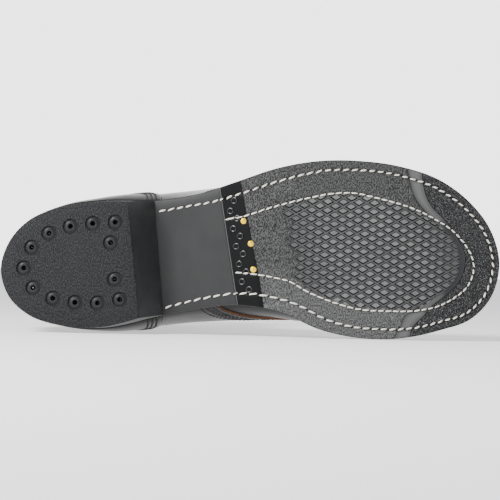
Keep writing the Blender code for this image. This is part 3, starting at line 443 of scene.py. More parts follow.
def spaced(line, at):
    """Points of a polyline at distances along it."""
    return interpolate(line, lengths_along(line), at)


def spaced_seam(line, step=4.0):
    return spaced(line, np.arange(0, lengths_along(line)[-1], step))


def evenly(line, count, endpoint=True):
    """A number of points evenly spaced along a polyline."""
    return spaced(line, np.linspace(0, lengths_along(line)[-1], count, endpoint=endpoint))


def unit(vectors):
    """Vectors brought to length 1."""
    return vectors / np.linalg.norm(vectors, axis=-1, keepdims=True)


def circle(sides):
    """Angles of points evenly spaced round a circle."""
    return np.linspace(0, 2 * math.pi, sides, endpoint=False)


def curve_through(points, per_span=12, closed=False):
    """A smooth curve through the points, with tangents weighted by the spans on each side."""
    points = np.asarray(points, float)
    last = len(points) if closed else len(points) - 1
    following = np.roll(points, -1, 0)
    span = np.linalg.norm(following - points, axis=1)[:, None]
    slope = (following - points) / span
    before = np.roll(span, 1, 0)
    tangent = (slope * before + np.roll(slope, 1, 0) * span) / (span + before)
    if not closed:
        tangent[0] = slope[0]
        tangent[-1] = slope[-2]
    curve = []
    for i in range(last):
        j = (i + 1) % len(points)
        t = np.linspace(0, 1, per_span, endpoint=False)[:, None]
        rise = (3 - 2 * t) * t * t
        bend = t * (1 - t) ** 2 * tangent[i] + t * t * (t - 1) * tangent[j]
        curve.append(points[i] * (1 - rise) + points[j] * rise + bend * span[i])
    if not closed:
        curve.append(points[-1:])
    return np.concatenate(curve)


def outward_normals(loop):
    """Unit normals of a closed plan outline that runs anticlockwise."""
    run = np.roll(loop, -1, 0) - np.roll(loop, 1, 0)
    return unit(np.stack([run[:, 1], -run[:, 0]], axis=1))


def inset(loop, distance):
    """The outline moved inwards by a distance, which may differ from point to point."""
    return loop - outward_normals(loop) * np.broadcast_to(distance, len(loop))[:, None]


def edges_of(loop):
    """The outline's lateral and medial edges, each as (x, y) columns with x rising."""
    loop = np.roll(loop, -int(np.argmin(loop[:, 0])), 0)
    tip = int(np.argmax(loop[:, 0]))
    return {"lateral": loop[: tip + 1], "medial": np.concatenate([loop[tip:], loop[:1]])[::-1]}


def edge_y(edges, side, x):
    """Where the outline's edge on one side lies across the boot, at x."""
    return np.interp(x, edges[side][:, 0], edges[side][:, 1])


def from_x(edges, start):
    """One line along both edges in front of a start on each: up the lateral edge and back down the medial."""
    front = {side: edges[side][edges[side][:, 0] > start[side]] for side in edges}
    return np.concatenate([front["lateral"], front["medial"][::-1][1:]])


def distance_to(points, line):
    """Distance from each plan point to a polyline."""
    start, run = line[:-1], np.diff(line, axis=0)
    reach = np.maximum((run ** 2).sum(1), 1e-12)
    nearest = np.full(len(points), 1e9)
    for a, r, q in zip(start, run, reach):
        t = np.clip(((points - a) @ r) / q, 0, 1)
        nearest = np.minimum(nearest, np.linalg.norm(points - a - t[:, None] * r, axis=1))
    return nearest


def inside_of(points, polygon):
    """Distance from each plan point to a polygon's outline, positive inside it."""
    loop = np.concatenate([polygon, polygon[:1]])
    odd = np.zeros(len(points), bool)
    for (ax, ay), (bx, by) in zip(loop[:-1], loop[1:]):
        spans = (ay > points[:, 1]) != (by > points[:, 1])
        at = ax + (points[:, 1] - ay) * (bx - ax) / (by - ay if by != ay else 1e-12)
        odd ^= spans & (points[:, 0] < at)
    return np.where(odd, 1.0, -1.0) * distance_to(points, loop)


def sole_outline():
    x = column("x", SOLE_COLUMNS, SOLE_STATIONS)
    lateral = np.stack([x, column("lateral", SOLE_COLUMNS, SOLE_STATIONS)], axis=1)
    medial = np.stack([x, column("medial", SOLE_COLUMNS, SOLE_STATIONS)], axis=1)
    return curve_through(np.concatenate([[HEEL_BACK], lateral, [TOE_TIP], medial[::-1]]), closed=True)


SOLE = sole_outline()
SOLE_EDGES = edges_of(SOLE)
WELT_WIDTH = np.interp(
    SOLE[:, 0], column("x", SOLE_COLUMNS, SOLE_STATIONS), column("welt", SOLE_COLUMNS, SOLE_STATIONS)
)
FEATHER = inset(SOLE, WELT_WIDTH)
FEATHER_EDGES = edges_of(FEATHER)
HEEL_SEAT_X, BACK_SEAM_Y = FEATHER_EDGES["medial"][0]


def underside(x):
    """Height of the outsole's underside."""
    line = np.array(SOLE_LINE)
    return smooth(line[:, 0], line[:, 1], x)


def welt_base(x):
    return underside(x) + OUTSOLE_THICK + GAP


def feather_z(x):
    return welt_base(x) + WELT_THICK + GAP


def tap_back_x(y):
    """Where the half sole's slanted back edge lies at y."""
    ends = [float(edge_y(SOLE_EDGES, side, TAP_BACK_X[side])) for side in ("lateral", "medial")]
    share = (np.asarray(y, float) - ends[0]) / (ends[1] - ends[0])
    return TAP_BACK_X["lateral"] + share * (TAP_BACK_X["medial"] - TAP_BACK_X["lateral"])


def tap_bottom(x, y):
    """Height of the half sole's tread, which is thinner over the skived back edge."""
    skive = np.clip((x - tap_back_x(y)) / TAP_SKIVE_LENGTH, 0, 1)
    return underside(x) - GAP - TAP_SKIVE_THICK - (TAP_THICK - TAP_SKIVE_THICK) * skive


def tread_z(x, y):
    """Height of what shows from below: the half sole, and the bare outsole behind it."""
    return np.where(np.asarray(x) > tap_back_x(y), tap_bottom(x, y), underside(x))


class Shader:
    """A material on one Principled shader, with short calls for the nodes that feed it."""

    def __init__(self, name, **values):
        self.material = bpy.data.materials.new(name)
        self.material.use_nodes = True
        self.tree = self.material.node_tree
        self.shader = self.tree.nodes["Principled BSDF"]
        self.place = self.add("ShaderNodeTexCoord").outputs["Object"]
        for socket, value in values.items():
            self.give(socket.replace("_", " "), value)

    def add(self, kind, inputs=(), **settings):
        made = self.tree.nodes.new(kind)
        for key, value in settings.items():
            setattr(made, key, value)
        for key, value in dict(inputs).items():
            self.join(value, made.inputs[key])
        return made

    def join(self, value, socket):
        if isinstance(value, bpy.types.NodeSocket):
            self.tree.links.new(value, socket)
        elif isinstance(value, tuple) and len(value) == 3 and socket.type == "RGBA":
            socket.default_value = (*value, 1.0)
        else:
            socket.default_value = value

    def give(self, name, value):
        """Sets or feeds one of the shader's own inputs."""
        self.join(value, self.shader.inputs[name])

    def noise(self, size_mm, detail=3.0, roughness=0.55, stretch=None):
        """Noise with features of about a size, stretched along an axis if asked."""
        inputs = {"Scale": 1 / (size_mm * MM), "Detail": detail, "Roughness": roughness, "Vector": self.place}
        if stretch:
            mapping = self.add("ShaderNodeMapping", {"Vector": self.place, "Scale": stretch})
            inputs["Vector"] = mapping.outputs[0]
        return self.add("ShaderNodeTexNoise", inputs).outputs["Fac"]

    def cells(self, size_mm):
        """Distance to the middle of scattered cells of about a size, smoothed where they meet."""
        inputs = {"Scale": 1 / (size_mm * MM), "Vector": self.place}
        return self.add("ShaderNodeTexVoronoi", inputs, feature="SMOOTH_F1").outputs["Distance"]

    def field(self, name):
        """A value that the mesh carries at each of its points."""
        return self.add("ShaderNodeAttribute", attribute_name=name).outputs["Fac"]

    def math(self, operation, a, b=0.0):
        return self.add("ShaderNodeMath", {0: a, 1: b}, operation=operation).outputs[0]

    def between(self, value, low, high, to_low=0.0, to_high=1.0):
        """Maps a range of values to another, smoothly, and holds it at both ends."""
        inputs = {"Value": value, "From Min": low, "From Max": high, "To Min": to_low, "To Max": to_high}
        return self.add("ShaderNodeMapRange", inputs, interpolation_type="SMOOTHSTEP").outputs[0]

    def mix(self, share, first, second):
        """A colour between two, by a share."""
        made = self.add("ShaderNodeMix", data_type="RGBA")
        self.join(share, made.inputs[0])
        self.join(first, made.inputs[6])
        self.join(second, made.inputs[7])
        return made.outputs[2]

    def mix_value(self, share, first, second):
        return self.add("ShaderNodeMix", {0: share, 2: first, 3: second}, data_type="FLOAT").outputs[0]

    def bump(self, height, depth_mm):
        """Adds fine relief of about a depth."""
        made = self.add("ShaderNodeBump", {"Height": height, "Distance": depth_mm * MM})
        self.give("Normal", made.outputs[0])


def placed(name, data):
    """A new object in the scene."""
    made = bpy.data.objects.new(name, data)
    bpy.context.scene.collection.objects.link(made)
    return made


def mesh_from(name, points, faces):
    """A mesh from points in millimetres."""
    mesh = bpy.data.meshes.new(name)
    mesh.from_pydata((np.asarray(points, float) * MM).tolist(), [], [tuple(f) for f in faces])
    return mesh


def soften(mesh, sharp):
    """Smooth shading, but for edges that turn by more than an angle in degrees."""
    mesh.shade_smooth()
    mesh.set_sharp_from_angle(angle=math.radians(sharp))


def piece(name, points, faces, materials, stands_for=(), slot=None, fields=None, face_slots=None, sharp=40.0):
    """A mesh of the boot from points in millimetres, riding on its one body."""
    mesh = mesh_from(name, points, faces)
    for field, values in (fields or {}).items():
        layer = mesh.attributes.new(field, "FLOAT", "POINT")
        layer.data.foreach_set("value", np.asarray(values, np.float32))
    for made in materials:
        mesh.materials.append(made)
    if face_slots is not None:
        mesh.polygons.foreach_set("material_index", np.asarray(face_slots, np.int32))
    soften(mesh, sharp)
    made = placed(name, mesh)
    made.matrix_world = BOOT
    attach(made, "root")
    if stands_for:
        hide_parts(*stands_for)
    return made


def grid_faces(rows, columns, around=False, flip=False, first=0):
    """Faces of a grid of points, row by row, closed round its columns if asked."""
    i, j = np.meshgrid(np.arange(rows - 1), np.arange(columns if around else columns - 1), indexing="ij")
    i, j = i.ravel(), j.ravel()
    k = (j + 1) % columns
    order = [i * columns + j, i * columns + k, (i + 1) * columns + k, (i + 1) * columns + j]
    faces = np.stack(order[::-1] if flip else order, axis=1) + first
    return faces.tolist()


def tube_faces(rows, columns, flip=False, first=0):
    """Faces of a grid that is closed round its columns, with a cap at each end."""
    turn = -1 if flip else 1
    start = list(range(first, first + columns))
    end = [k + (rows - 1) * columns for k in start]
    return grid_faces(rows, columns, True, flip, first) + [start[::-turn], end[::turn]]


def torus_faces(sides, section, first):
    """Faces of a ring of sections, closed both ways."""
    i, j = np.meshgrid(np.arange(sides), np.arange(section), indexing="ij")
    i, j = i.ravel(), j.ravel()
    a, b = (i + 1) % sides, (j + 1) % section
    order = [i * section + j, a * section + j, a * section + b, i * section + b]
    return (np.stack(order, axis=1) + first).tolist()


def mottled(name, pattern, dark, light, ramp=(0.3, 0.7), roughness=None, relief=0.0, **values):
    """A material whose colour, sheen and fine relief follow one pattern of noise."""
    made = Shader(name, **values)
    share = made.noise(*pattern)
    made.give("Base Color", made.mix(made.between(share, *ramp), dark, light))
    if roughness:
        made.give("Roughness", made.between(share, 0.3, 0.7, *roughness))
    if relief:
        made.bump(share, relief)
    return made.material


def thread_material(name, light, dark):
    """Twisted waxed thread, a little soiled between its strands."""
    twist = (0.45, 2.0, 0.5, (1.0, 1.0, 2.0))
    return mottled(name, twist, dark, light, (0.3, 0.62), relief=0.12, Roughness=0.62)


def edge_material():
    """Trimmed sole edges, inked black and burnished, with the layers just showing."""
    layers = (1.6, 3.0, 0.6, (0.06, 0.06, 1.0))
    return mottled(
        "edge_dressing", layers, EDGE_BLACK, EDGE_WORN, (0.35, 0.7), (0.32, 0.5), 0.12,
        Specular_IOR_Level=0.45,
    )


def metal_material(name, light, dark, roughness, metallic=1.0):
    """Hammered metal, tarnished in patches."""
    patches, dull = (0.8, 3.0, 0.6), roughness + 0.2
    return mottled(name, patches, dark, light, (0.35, 0.65), (roughness, dull), 0.08, Metallic=metallic)


def bowl_material():
    """The smooth moulded bowls round the heel's nails."""
    cloudy, sheen = (2.5, 3.0, 0.6), (0.42, 0.52)
    return mottled(
        "heel_bowl", cloudy, BOWL_DARK, BOWL_LIGHT, roughness=sheen, relief=0.05, Specular_IOR_Level=0.2
    )


def ring_material():
    """Small moulded rings, rubbed paler in places."""
    worn, sheen = (0.6, 3.0, 0.6), (0.3, 0.42)
    return mottled("moulded_ring", worn, BAND_GREY, CRESCENT_GREY, (0.35, 0.7), sheen, Specular_IOR_Level=0.6)


def raw_edge_material():
    """Cut leather left brown, with its fibres showing."""
    fibres = (0.8, 4.0, 0.65, (1.0, 1.0, 0.35))
    return mottled("raw_leather_edge", fibres, RAW_DARK, RAW_LIGHT, relief=0.2, Roughness=0.75)


def hole_shade_material():
    """The painted shade of a needle hole, with a little wax in it."""
    made = Shader("needle_hole_shade", Roughness=0.85)
    wax = made.noise(0.4, 2.0)
    made.give("Base Color", made.mix(wax, NEEDLE_HOLE_SHADE, EDGE_BLACK))
    return made.material


def half_sole_material():
    """Black rubber in zones: crinkled forefoot, smooth band, strip and crescent, coarse toe and tread."""
    made = Shader("half_sole_rubber")
    wander = made.math("MULTIPLY", made.math("SUBTRACT", made.noise(2.2, 3.0), 0.5), 1.4)
    to_band = made.math("ADD", made.field("to_band"), wander)
    band = made.between(to_band, -0.35, 0.35)
    strip = made.math(
        "MULTIPLY",
        made.between(made.field("to_strip_back"), -0.2, 0.2),
        made.between(made.field("to_strip_front"), 0.2, -0.2),
    )
    toe = made.between(made.field("to_strip_front"), -0.2, 0.3)
    tread = made.field("tread")
    # Painted shade: the tread's grooves are darkened by their depth.
    groove = made.between(made.field("tread_height"), 0.72, 0.25)

    folds = made.noise(0.58, 2.0, 0.5, stretch=(1.0, 0.5, 1.0))
    coarse = made.noise(0.54, 2.0, 0.55, stretch=(1.0, 0.6, 1.0))
    cloudy = made.noise(22.0, 4.0, 0.6)

    grey = made.mix(made.between(folds, 0.38, 0.62), GRAIN_DARK, GRAIN_LIGHT)
    grey = made.mix(made.between(cloudy, 0.35, 0.7, 0.0, 0.35), grey, GRAIN_WORN)
    across = made.add("ShaderNodeSeparateXYZ", {0: made.place}).outputs["Y"]
    rubbed = made.mix(made.between(folds, 0.38, 0.64), GRAIN_WORN, GRAIN_RUBBED)
    grey = made.mix(made.between(across, 0.0, 36 * MM, 0.0, 0.8), grey, rubbed)
    toe_grey = made.mix(made.between(coarse, 0.45, 0.76), TOE_DARK, TOE_LIGHT)
    inner = made.between(made.field("crescent"), 0.2, 0.8)
    from_sides = made.math(
        "MINIMUM", made.field("to_strip_back"), made.math("MULTIPLY", made.field("to_strip_front"), -1.0)
    )
    # Painted sheen and shade: the sunk strip is paler in its middle and darker towards both its edges.
    strip_grey = made.mix(made.between(from_sides, 0.2, 3.2), STRIP_SHADED_GREY, STRIP_LIT_GREY)
    strip_grey = made.mix(inner, strip_grey, CRESCENT_GREY)
    boss = made.mix(made.between(cloudy, 0.3, 0.7), BOSS_DARK, BOSS_LIGHT)
    boss = made.mix(made.field("tread_fade"), boss, BOSS_WORN)
    boss = made.mix(made.between(made.field("tread_height"), 0.97, 0.85), boss, RIB_GREY)
    # Painted shade in the grooves.
    boss = made.mix(groove, boss, GROOVE_SHADE)
    colour = made.mix(toe, grey, toe_grey)
    colour = made.mix(strip, colour, strip_grey)
    colour = made.mix(band, colour, BAND_GREY)
    colour = made.mix(tread, colour, boss)
    # Painted shade: a thin dark line along both edges of the sunk strip.
    edge = made.math("MINIMUM", made.math("ABSOLUTE", made.field("to_strip_back")), 9.0)
    edge = made.math("MINIMUM", edge, made.math("ABSOLUTE", made.field("to_strip_front")))
    colour = made.mix(made.between(edge, 0.42, 0.12, 0.0, 0.85), colour, STRIP_EDGE_SHADE)
    colour = made.mix(made.field("wall"), colour, EDGE_BLACK)
    # Painted highlight along the half sole's back edge.
    colour = made.mix(made.field("back_edge_highlight"), colour, BACK_EDGE_HIGHLIGHT)
    made.give("Base Color", colour)

    smooth_share = made.math("MAXIMUM", made.math("MAXIMUM", band, strip), tread)
    made.give("Roughness", made.mix_value(smooth_share, 0.62, 0.42))
    made.give("Specular IOR Level", made.mix_value(band, 0.2, 0.13))
    relief = made.mix_value(toe, made.math("MULTIPLY", folds, 1.3), made.math("MULTIPLY", coarse, 1.2))
    relief = made.mix_value(smooth_share, relief, made.math("MULTIPLY", made.noise(0.7), 0.06))
    relief = made.mix_value(made.field("wall"), relief, 0.3)
    made.bump(relief, 1.0)
    return made.material


def heel_material():
    """Hard black rubber with a fine pebbled grain, rubbed a little paler in cloudy patches."""
    made = Shader("heel_rubber", Roughness=0.55, Specular_IOR_Level=0.2)
    pebble = made.noise(0.7, 2.0, 0.5, stretch=(1.0, 0.62, 1.0))
    cloudy = made.noise(30.0, 3.0, 0.5)
    grey = made.mix(made.between(pebble, 0.4, 0.62), HEEL_DARK, HEEL_LIGHT)
    grey = made.mix(made.between(cloudy, 0.4, 0.75, 0.0, 0.3), grey, HEEL_WORN)
    made.give("Base Color", grey)
    made.bump(pebble, 0.55)
    return made.material


def breast_material():
    """The heel's smooth trimmed faces, dressed black."""
    made = Shader("heel_breast", Specular_IOR_Level=0.3)
    cloudy = made.noise(16.0, 4.0, 0.6)
    brushed = made.noise(1.2, 3.0, 0.6, stretch=(1.0, 0.08, 1.0))
    made.give("Base Color", made.mix(made.between(cloudy, 0.3, 0.7), BREAST_DARK, BREAST_LIGHT))
    made.give("Roughness", made.between(brushed, 0.3, 0.7, 0.38, 0.5))
    made.bump(brushed, 0.03)
    return made.material


def shank_material():
    """Smooth dark grey sole leather, rubbed a little cloudy, with a painted shadow along the half sole's back
    edge.
    """
    made = Shader("shank_leather", Specular_IOR_Level=0.25)
    cloudy = made.noise(14.0, 5.0, 0.6)
    pores = made.noise(0.5, 2.0, 0.5)
    grey = made.mix(made.between(cloudy, 0.3, 0.72), SHANK_DARK, SHANK_LIGHT)
    # Painted shadow: a thin line just behind the half sole's back edge is darkened to near black.
    parts = made.add("ShaderNodeSeparateXYZ", {0: made.place})
    slant = made.math("MULTIPLY", parts.outputs["Y"], tap_back_x(1.0) - tap_back_x(0.0))
    behind = made.math("SUBTRACT", made.math("ADD", slant, tap_back_x(0.0) * MM), parts.outputs["X"])
    painted_step_shadow = made.between(behind, 0.2 * MM, 1.0 * MM, 0.9, 0.0)
    made.give("Base Color", made.mix(painted_step_shadow, grey, EDGE_BLACK))
    made.give("Roughness", made.between(cloudy, 0.3, 0.7, 0.42, 0.52))
    made.bump(pores, 0.025)
    return made.material


def leather_material(name, rows=(), light=0.020, dark=0.013, welt_shade_reach=14.0):
    """Polished black leather: grain, patches of gloss, furrows under its stitches, and painted shade near the
    welt, where its sheen is turned down.
    """
    made = Shader(name, Specular_IOR_Level=0.4, Coat_Weight=0.2, Coat_Roughness=0.2)
    # Painted shade: specular and coat turned down near the welt, where the sole shades the leather.
    if welt_shade_reach:
        made.give("Specular IOR Level", made.between(made.field("above_welt"), 0.0, welt_shade_reach, 0.04, 0.4))
        made.give("Coat Weight", made.between(made.field("above_welt"), welt_shade_reach / 5, welt_shade_reach, 0.0, 0.2))
    patches = made.noise(22.0, 2.5, 0.5)
    pores = made.cells(0.62)
    wrinkles = made.noise(2.6, 4.0, 0.6)
    tint = made.mix(made.between(patches, 0.3, 0.7), (dark, dark, dark * 1.06), (light, light, light * 1.05))
    made.give("Base Color", tint)
    made.give("Roughness", made.between(patches, 0.3, 0.72, 0.26, 0.35))
    height = made.math("ADD", made.math("MULTIPLY", pores, 0.06), made.math("MULTIPLY", wrinkles, 0.10))
    for row in rows:
        off = made.math("ABSOLUTE", made.math("SUBTRACT", made.field("edge"), row))
        height = made.math("ADD", height, made.between(off, 0.0, 0.9, -0.35, 0.0))
    made.bump(height, 1.0)
    return made.material


def insole_material():
    """Tan leather, darkened where a foot has pressed it."""
    made = Shader("insole_tan", Roughness=0.6)
    worn = made.noise(24.0, 4.0, 0.6)
    fibres = made.noise(1.2, 4.0, 0.6)
    tan = made.mix(made.between(worn, 0.3, 0.7), TAN_DARK, TAN_LIGHT)
    made.give("Base Color", made.mix(made.between(fibres, 0.35, 0.7, 0.0, 0.4), tan, TAN_FIBRE))
    made.bump(fibres, 0.12)
    return made.material


def lace_material():
    """Black braid: two sets of crossing ribs over a matt cord."""
    made = Shader("lace_braid", Roughness=0.7)
    along = made.field("along")
    around = made.field("around")
    first = made.math("SINE", made.math("ADD", made.math("MULTIPLY", along, 3.4), around))
    second = made.math("SINE", made.math("SUBTRACT", made.math("MULTIPLY", along, 3.4), around))
    ribs = made.math("MAXIMUM", first, second)
    made.give("Base Color", made.mix(made.between(ribs, -0.2, 1.0), LACE_DARK, LACE_LIGHT))
    made.bump(ribs, 0.18)
    return made.material


def half_sole_outline(count):
    """The half sole's plan outline, evenly spaced: the sole's edge in front of its straight back edge."""
    corners = [(TAP_BACK_X[side], float(edge_y(SOLE_EDGES, side, TAP_BACK_X[side]))) for side in SOLE_EDGES]
    loop = np.concatenate([corners[:1], from_x(SOLE_EDGES, TAP_BACK_X), corners[1:], corners[:1]])
    return evenly(loop, count, endpoint=False)


def outer_seam():
    """The outer row of stitches in plan, from the lateral breast round the toe to the medial breast."""
    x, lateral, medial = np.array(OUTER_SEAM_INSET).T
    side = blend(SOLE[:, 1], BACK_SEAM_Y - 8.0, BACK_SEAM_Y + 8.0)
    distance = np.interp(SOLE[:, 0], x, lateral) * (1 - side) + np.interp(SOLE[:, 0], x, medial) * side
    return from_x(edges_of(inset(SOLE, distance)), OUTER_SEAM_START)


def strip_fields(plan):
    """How far each plan point lies in front of the strip's two edges and behind the band's front edge."""
    ahead = [(400.0, 80.0), (400.0, -80.0)]
    behind = [(60.0, 80.0), (60.0, -80.0)]
    lines = {"to_strip_back": STRIP_BACK, "to_strip_front": STRIP_FRONT, "to_band": BAND_FRONT}
    found = {}
    for name, line in lines.items():
        close = behind if name == "to_band" else ahead
        found[name] = inside_of(plan, np.concatenate([curve_through(line, 6), close]))
    return found


def forefoot_relief(plan, fields):
    """Depth of the half sole's low relief: seam channels, the sunk strip and the hollow crescent."""
    depth = np.zeros(len(plan))
    for seam in (spaced_seam(outer_seam()), spaced_seam(curve_through(INNER_SEAM, 4))):
        depth += STITCH_CHANNEL * np.exp(-((distance_to(plan, seam) / STITCH_CHANNEL_WIDTH) ** 2))
    strip = blend(fields["to_strip_back"], -0.4, 0.4) * blend(fields["to_strip_front"], 0.4, -0.4)
    return depth + strip * (STRIP_SUNK + (CRESCENT_DEPTH - STRIP_SUNK) * fields["crescent"])


def build_half_sole():
    """The half sole: its smooth zones and rim on rings round the tread, and the tread's diamonds."""
    outline = half_sole_outline(TAP_AROUND)
    tread = curve_through(TREAD_EDGE, closed=True) - TREAD_MIDDLE
    angle = np.arctan2(tread[:, 1], tread[:, 0])
    order = np.argsort(angle)
    rim = inset(outline, TAP_EDGE_RADIUS)
    to_rim = rim - TREAD_MIDDLE
    reach = np.interp(
        np.arctan2(to_rim[:, 1], to_rim[:, 0]),
        angle[order], np.linalg.norm(tread, axis=1)[order], period=2 * math.pi,
    )
    start = TREAD_MIDDLE + unit(to_rim) * reach[:, None]
    shares = np.linspace(0, 1, TAP_ACROSS)[:, None, None]
    plan = (start + shares * (rim - start)).reshape(-1, 2)
    fields = strip_fields(plan)
    # 1 round the tread's front, where the strip is a dark hollow, and 0 at its two pale ends
    fields["crescent"] = blend(plan[:, 0], *CRESCENT_X)
    rim_z = tap_bottom(rim[:, 0], rim[:, 1])
    rows = [np.column_stack([plan, tap_bottom(plan[:, 0], plan[:, 1]) + forefoot_relief(plan, fields)])]
    rows += [np.column_stack([inset(outline, inwards), rim_z + rise]) for inwards, rise in TAP_CORNER]
    rows.append(np.column_stack([outline, underside(outline[:, 0]) - GAP / 2]))
    points = np.concatenate(rows)
    wall_rows = len(rows) - 1
    from_back = points[:, 0] - tap_back_x(points[:, 1])
    fields = {name: np.concatenate([v, np.tile(v[-TAP_AROUND:], wall_rows)]) for name, v in fields.items()}
    ink = np.concatenate([np.zeros(len(plan)), np.repeat(TAP_CORNER_INK, TAP_AROUND)])
    fields["wall"] = ink * blend(from_back, 0.1, 0.6)
    fields["tread"] = np.zeros(len(points))
    fields["tread_height"] = np.ones(len(points))
    fields["tread_fade"] = np.zeros(len(points))
    # Painted highlight: a pale line along the half sole's back edge, where its wall faces the lamp.
    fields["back_edge_highlight"] = blend(from_back, 0.45, 0.2)
    faces = grid_faces(TAP_ACROSS + wall_rows, TAP_AROUND, around=True, flip=True)
    tread_points, tread_faces, tread_fields = tread_patch(len(points))
    points = np.concatenate([points, tread_points])
    fields = {name: np.concatenate([v, tread_fields[name]]) for name, v in fields.items()}
    piece(
        "half_sole_tread", points, faces + tread_faces, [half_sole_material()],
        stands_for=["half_sole"], slot="half_sole", fields=fields, sharp=60.0,
    )


def tread_patch(first):
    """The diamonds, on a grid along their ribs. Where the grid runs on under the forefoot it sinks."""
    side_a, side_b = (DIAMOND_LONG + DIAMOND_SHORT) / 2, (DIAMOND_LONG - DIAMOND_SHORT) / 2
    outline = curve_through(TREAD_EDGE, 4, closed=True)
    cell_of = np.linalg.inv(np.stack([side_a, side_b], axis=1))
    reach = (outline - DIAMOND_ORIGIN) @ cell_of.T
    wide, narrow = np.array(DIAMOND_WIDE), np.array(DIAMOND_NARROW)
    marks = np.arange(len(wide))
    ends = {"p": (narrow, wide), "q": (wide, narrow)}
    low, high = np.floor(reach.min(0)) - 1, np.ceil(reach.max(0)) + 1
    p, q = (
        np.concatenate([
            k + np.concatenate([-ends[axis][0][::-1], ends[axis][1][1:-1]]) for k in np.arange(a, b + 1)
        ])
        for axis, a, b in zip("pq", low, high)
    )
    grid_p, grid_q = (g.ravel() for g in np.meshgrid(p, q, indexing="ij"))
    plan = DIAMOND_ORIGIN + grid_p[:, None] * side_a + grid_q[:, None] * side_b
    middle_p, middle_q = np.floor(grid_p + 0.5), np.floor(grid_q + 0.5)
    from_middle = np.maximum.reduce([
        np.where(off < 0, np.interp(-off, ends[axis][0], marks), np.interp(off, ends[axis][1], marks))
        for axis, off in (("p", grid_p - middle_p), ("q", grid_q - middle_q))
    ])
    middle = DIAMOND_ORIGIN + middle_p[:, None] * side_a + middle_q[:, None] * side_b
    back = np.array(TREAD_BACK)
    from_back = middle[:, 0] - np.interp(middle[:, 1], back[:, 1], back[:, 0])
    cut = from_back > 0
    within = inside_of(plan, outline)
    fade = blend(plan[:, 0], *TREAD_FADE_X)
    depth = np.where(cut, np.interp(from_middle, marks, DIAMOND_DEPTHS), 0.0) * (1 - 0.5 * fade)
    sunk = TREAD_SINK + np.clip((-within - 1.0) * 1.5, 0, 1.5)
    points = np.column_stack([plan, tap_bottom(plan[:, 0], plan[:, 1]) + depth + sunk])
    fields = strip_fields(plan)
    fields["to_strip_back"] = np.minimum(fields["to_strip_back"], -3.0)
    fields["tread"] = cut.astype(float)
    fields["tread_height"] = 1 - depth / TREAD_DEPTH
    fields["tread_fade"] = np.maximum(fade, blend(from_back, *TREAD_BACK_FADE))
    for name in ("crescent", "wall", "back_edge_highlight"):
        fields[name] = np.zeros(len(plan))
    faces = np.array(grid_faces(len(p), len(q)))
    faces = faces[(within[faces] > -TREAD_UNDERLAP).all(1)]
    used, faces = np.unique(faces, return_inverse=True)
    faces = faces.reshape(-1, 4) + first
    quad = points[used][faces[0] - first]
    if np.cross(quad[1] - quad[0], quad[2] - quad[0])[2] > 0:
        faces = faces[:, ::-1]
    return points[used], faces.tolist(), {name: values[used] for name, values in fields.items()}


def heel_edge(at_floor):
    """The heel's plan edges, at the floor or under the outsole."""
    if not at_floor:
        return edges_of(inset(SOLE, HEEL_TOP_INSET))
    length = BREAST_BOTTOM_X["medial"] - HEEL_CORNER_START_X
    share = np.clip((SOLE[:, 0] - HEEL_CORNER_START_X) / length, 0, 1)
    extra = (HEEL_MEDIAL_CORNER_INSET - HEEL_BOTTOM_INSET) * share
    return edges_of(inset(SOLE, HEEL_BOTTOM_INSET + np.where(SOLE[:, 1] > 0, extra, 0.0)))


def heel_nail_places():
    """Nails evenly spaced along a line inside the heel's edge, and two more near the breast."""
    edges = edges_of(inset(SOLE, HEEL_BOTTOM_INSET + NAIL_RING_INSET))
    lateral = edges["lateral"][edges["lateral"][:, 0] <= NAIL_RING_LATERAL_X][::-1]
    medial = edges["medial"][edges["medial"][:, 0] <= NAIL_RING_MEDIAL_X]
    line = np.concatenate([lateral, medial[1:]]) + (0, NAIL_RING_SHIFT_Y)
    return [tuple(place) for place in evenly(line, NAIL_RING_COUNT)] + list(INNER_NAILS)


def heel_loop(at_floor, count):
    """The heel's outline at one end of its walls: round the back, then straight across the breast."""
    edges = heel_edge(at_floor)
    breast = BREAST_BOTTOM_X if at_floor else BREAST_TOP_X
    sides = {}
    for side in ("lateral", "medial"):
        line = edges[side][edges[side][:, 0] < breast[side]]
        corner = (breast[side], float(edge_y(edges, side, breast[side])))
        line = np.concatenate([line, [corner]])
        sides[side] = evenly(line, count)
    across = np.linspace(sides["lateral"][-1], sides["medial"][-1], count // 4)[1:-1]
    return np.concatenate([sides["lateral"], across, sides["medial"][::-1][:-1]])


def turned(centre, profile, sides):
    """Points of a turned shape on a vertical axis, profile as (radius, height)."""
    x, y = np.cos(circle(sides)), np.sin(circle(sides))
    return np.concatenate([
        np.column_stack([centre[0] + r * x, centre[1] + r * y, np.full(sides, h)]) for r, h in profile
    ])


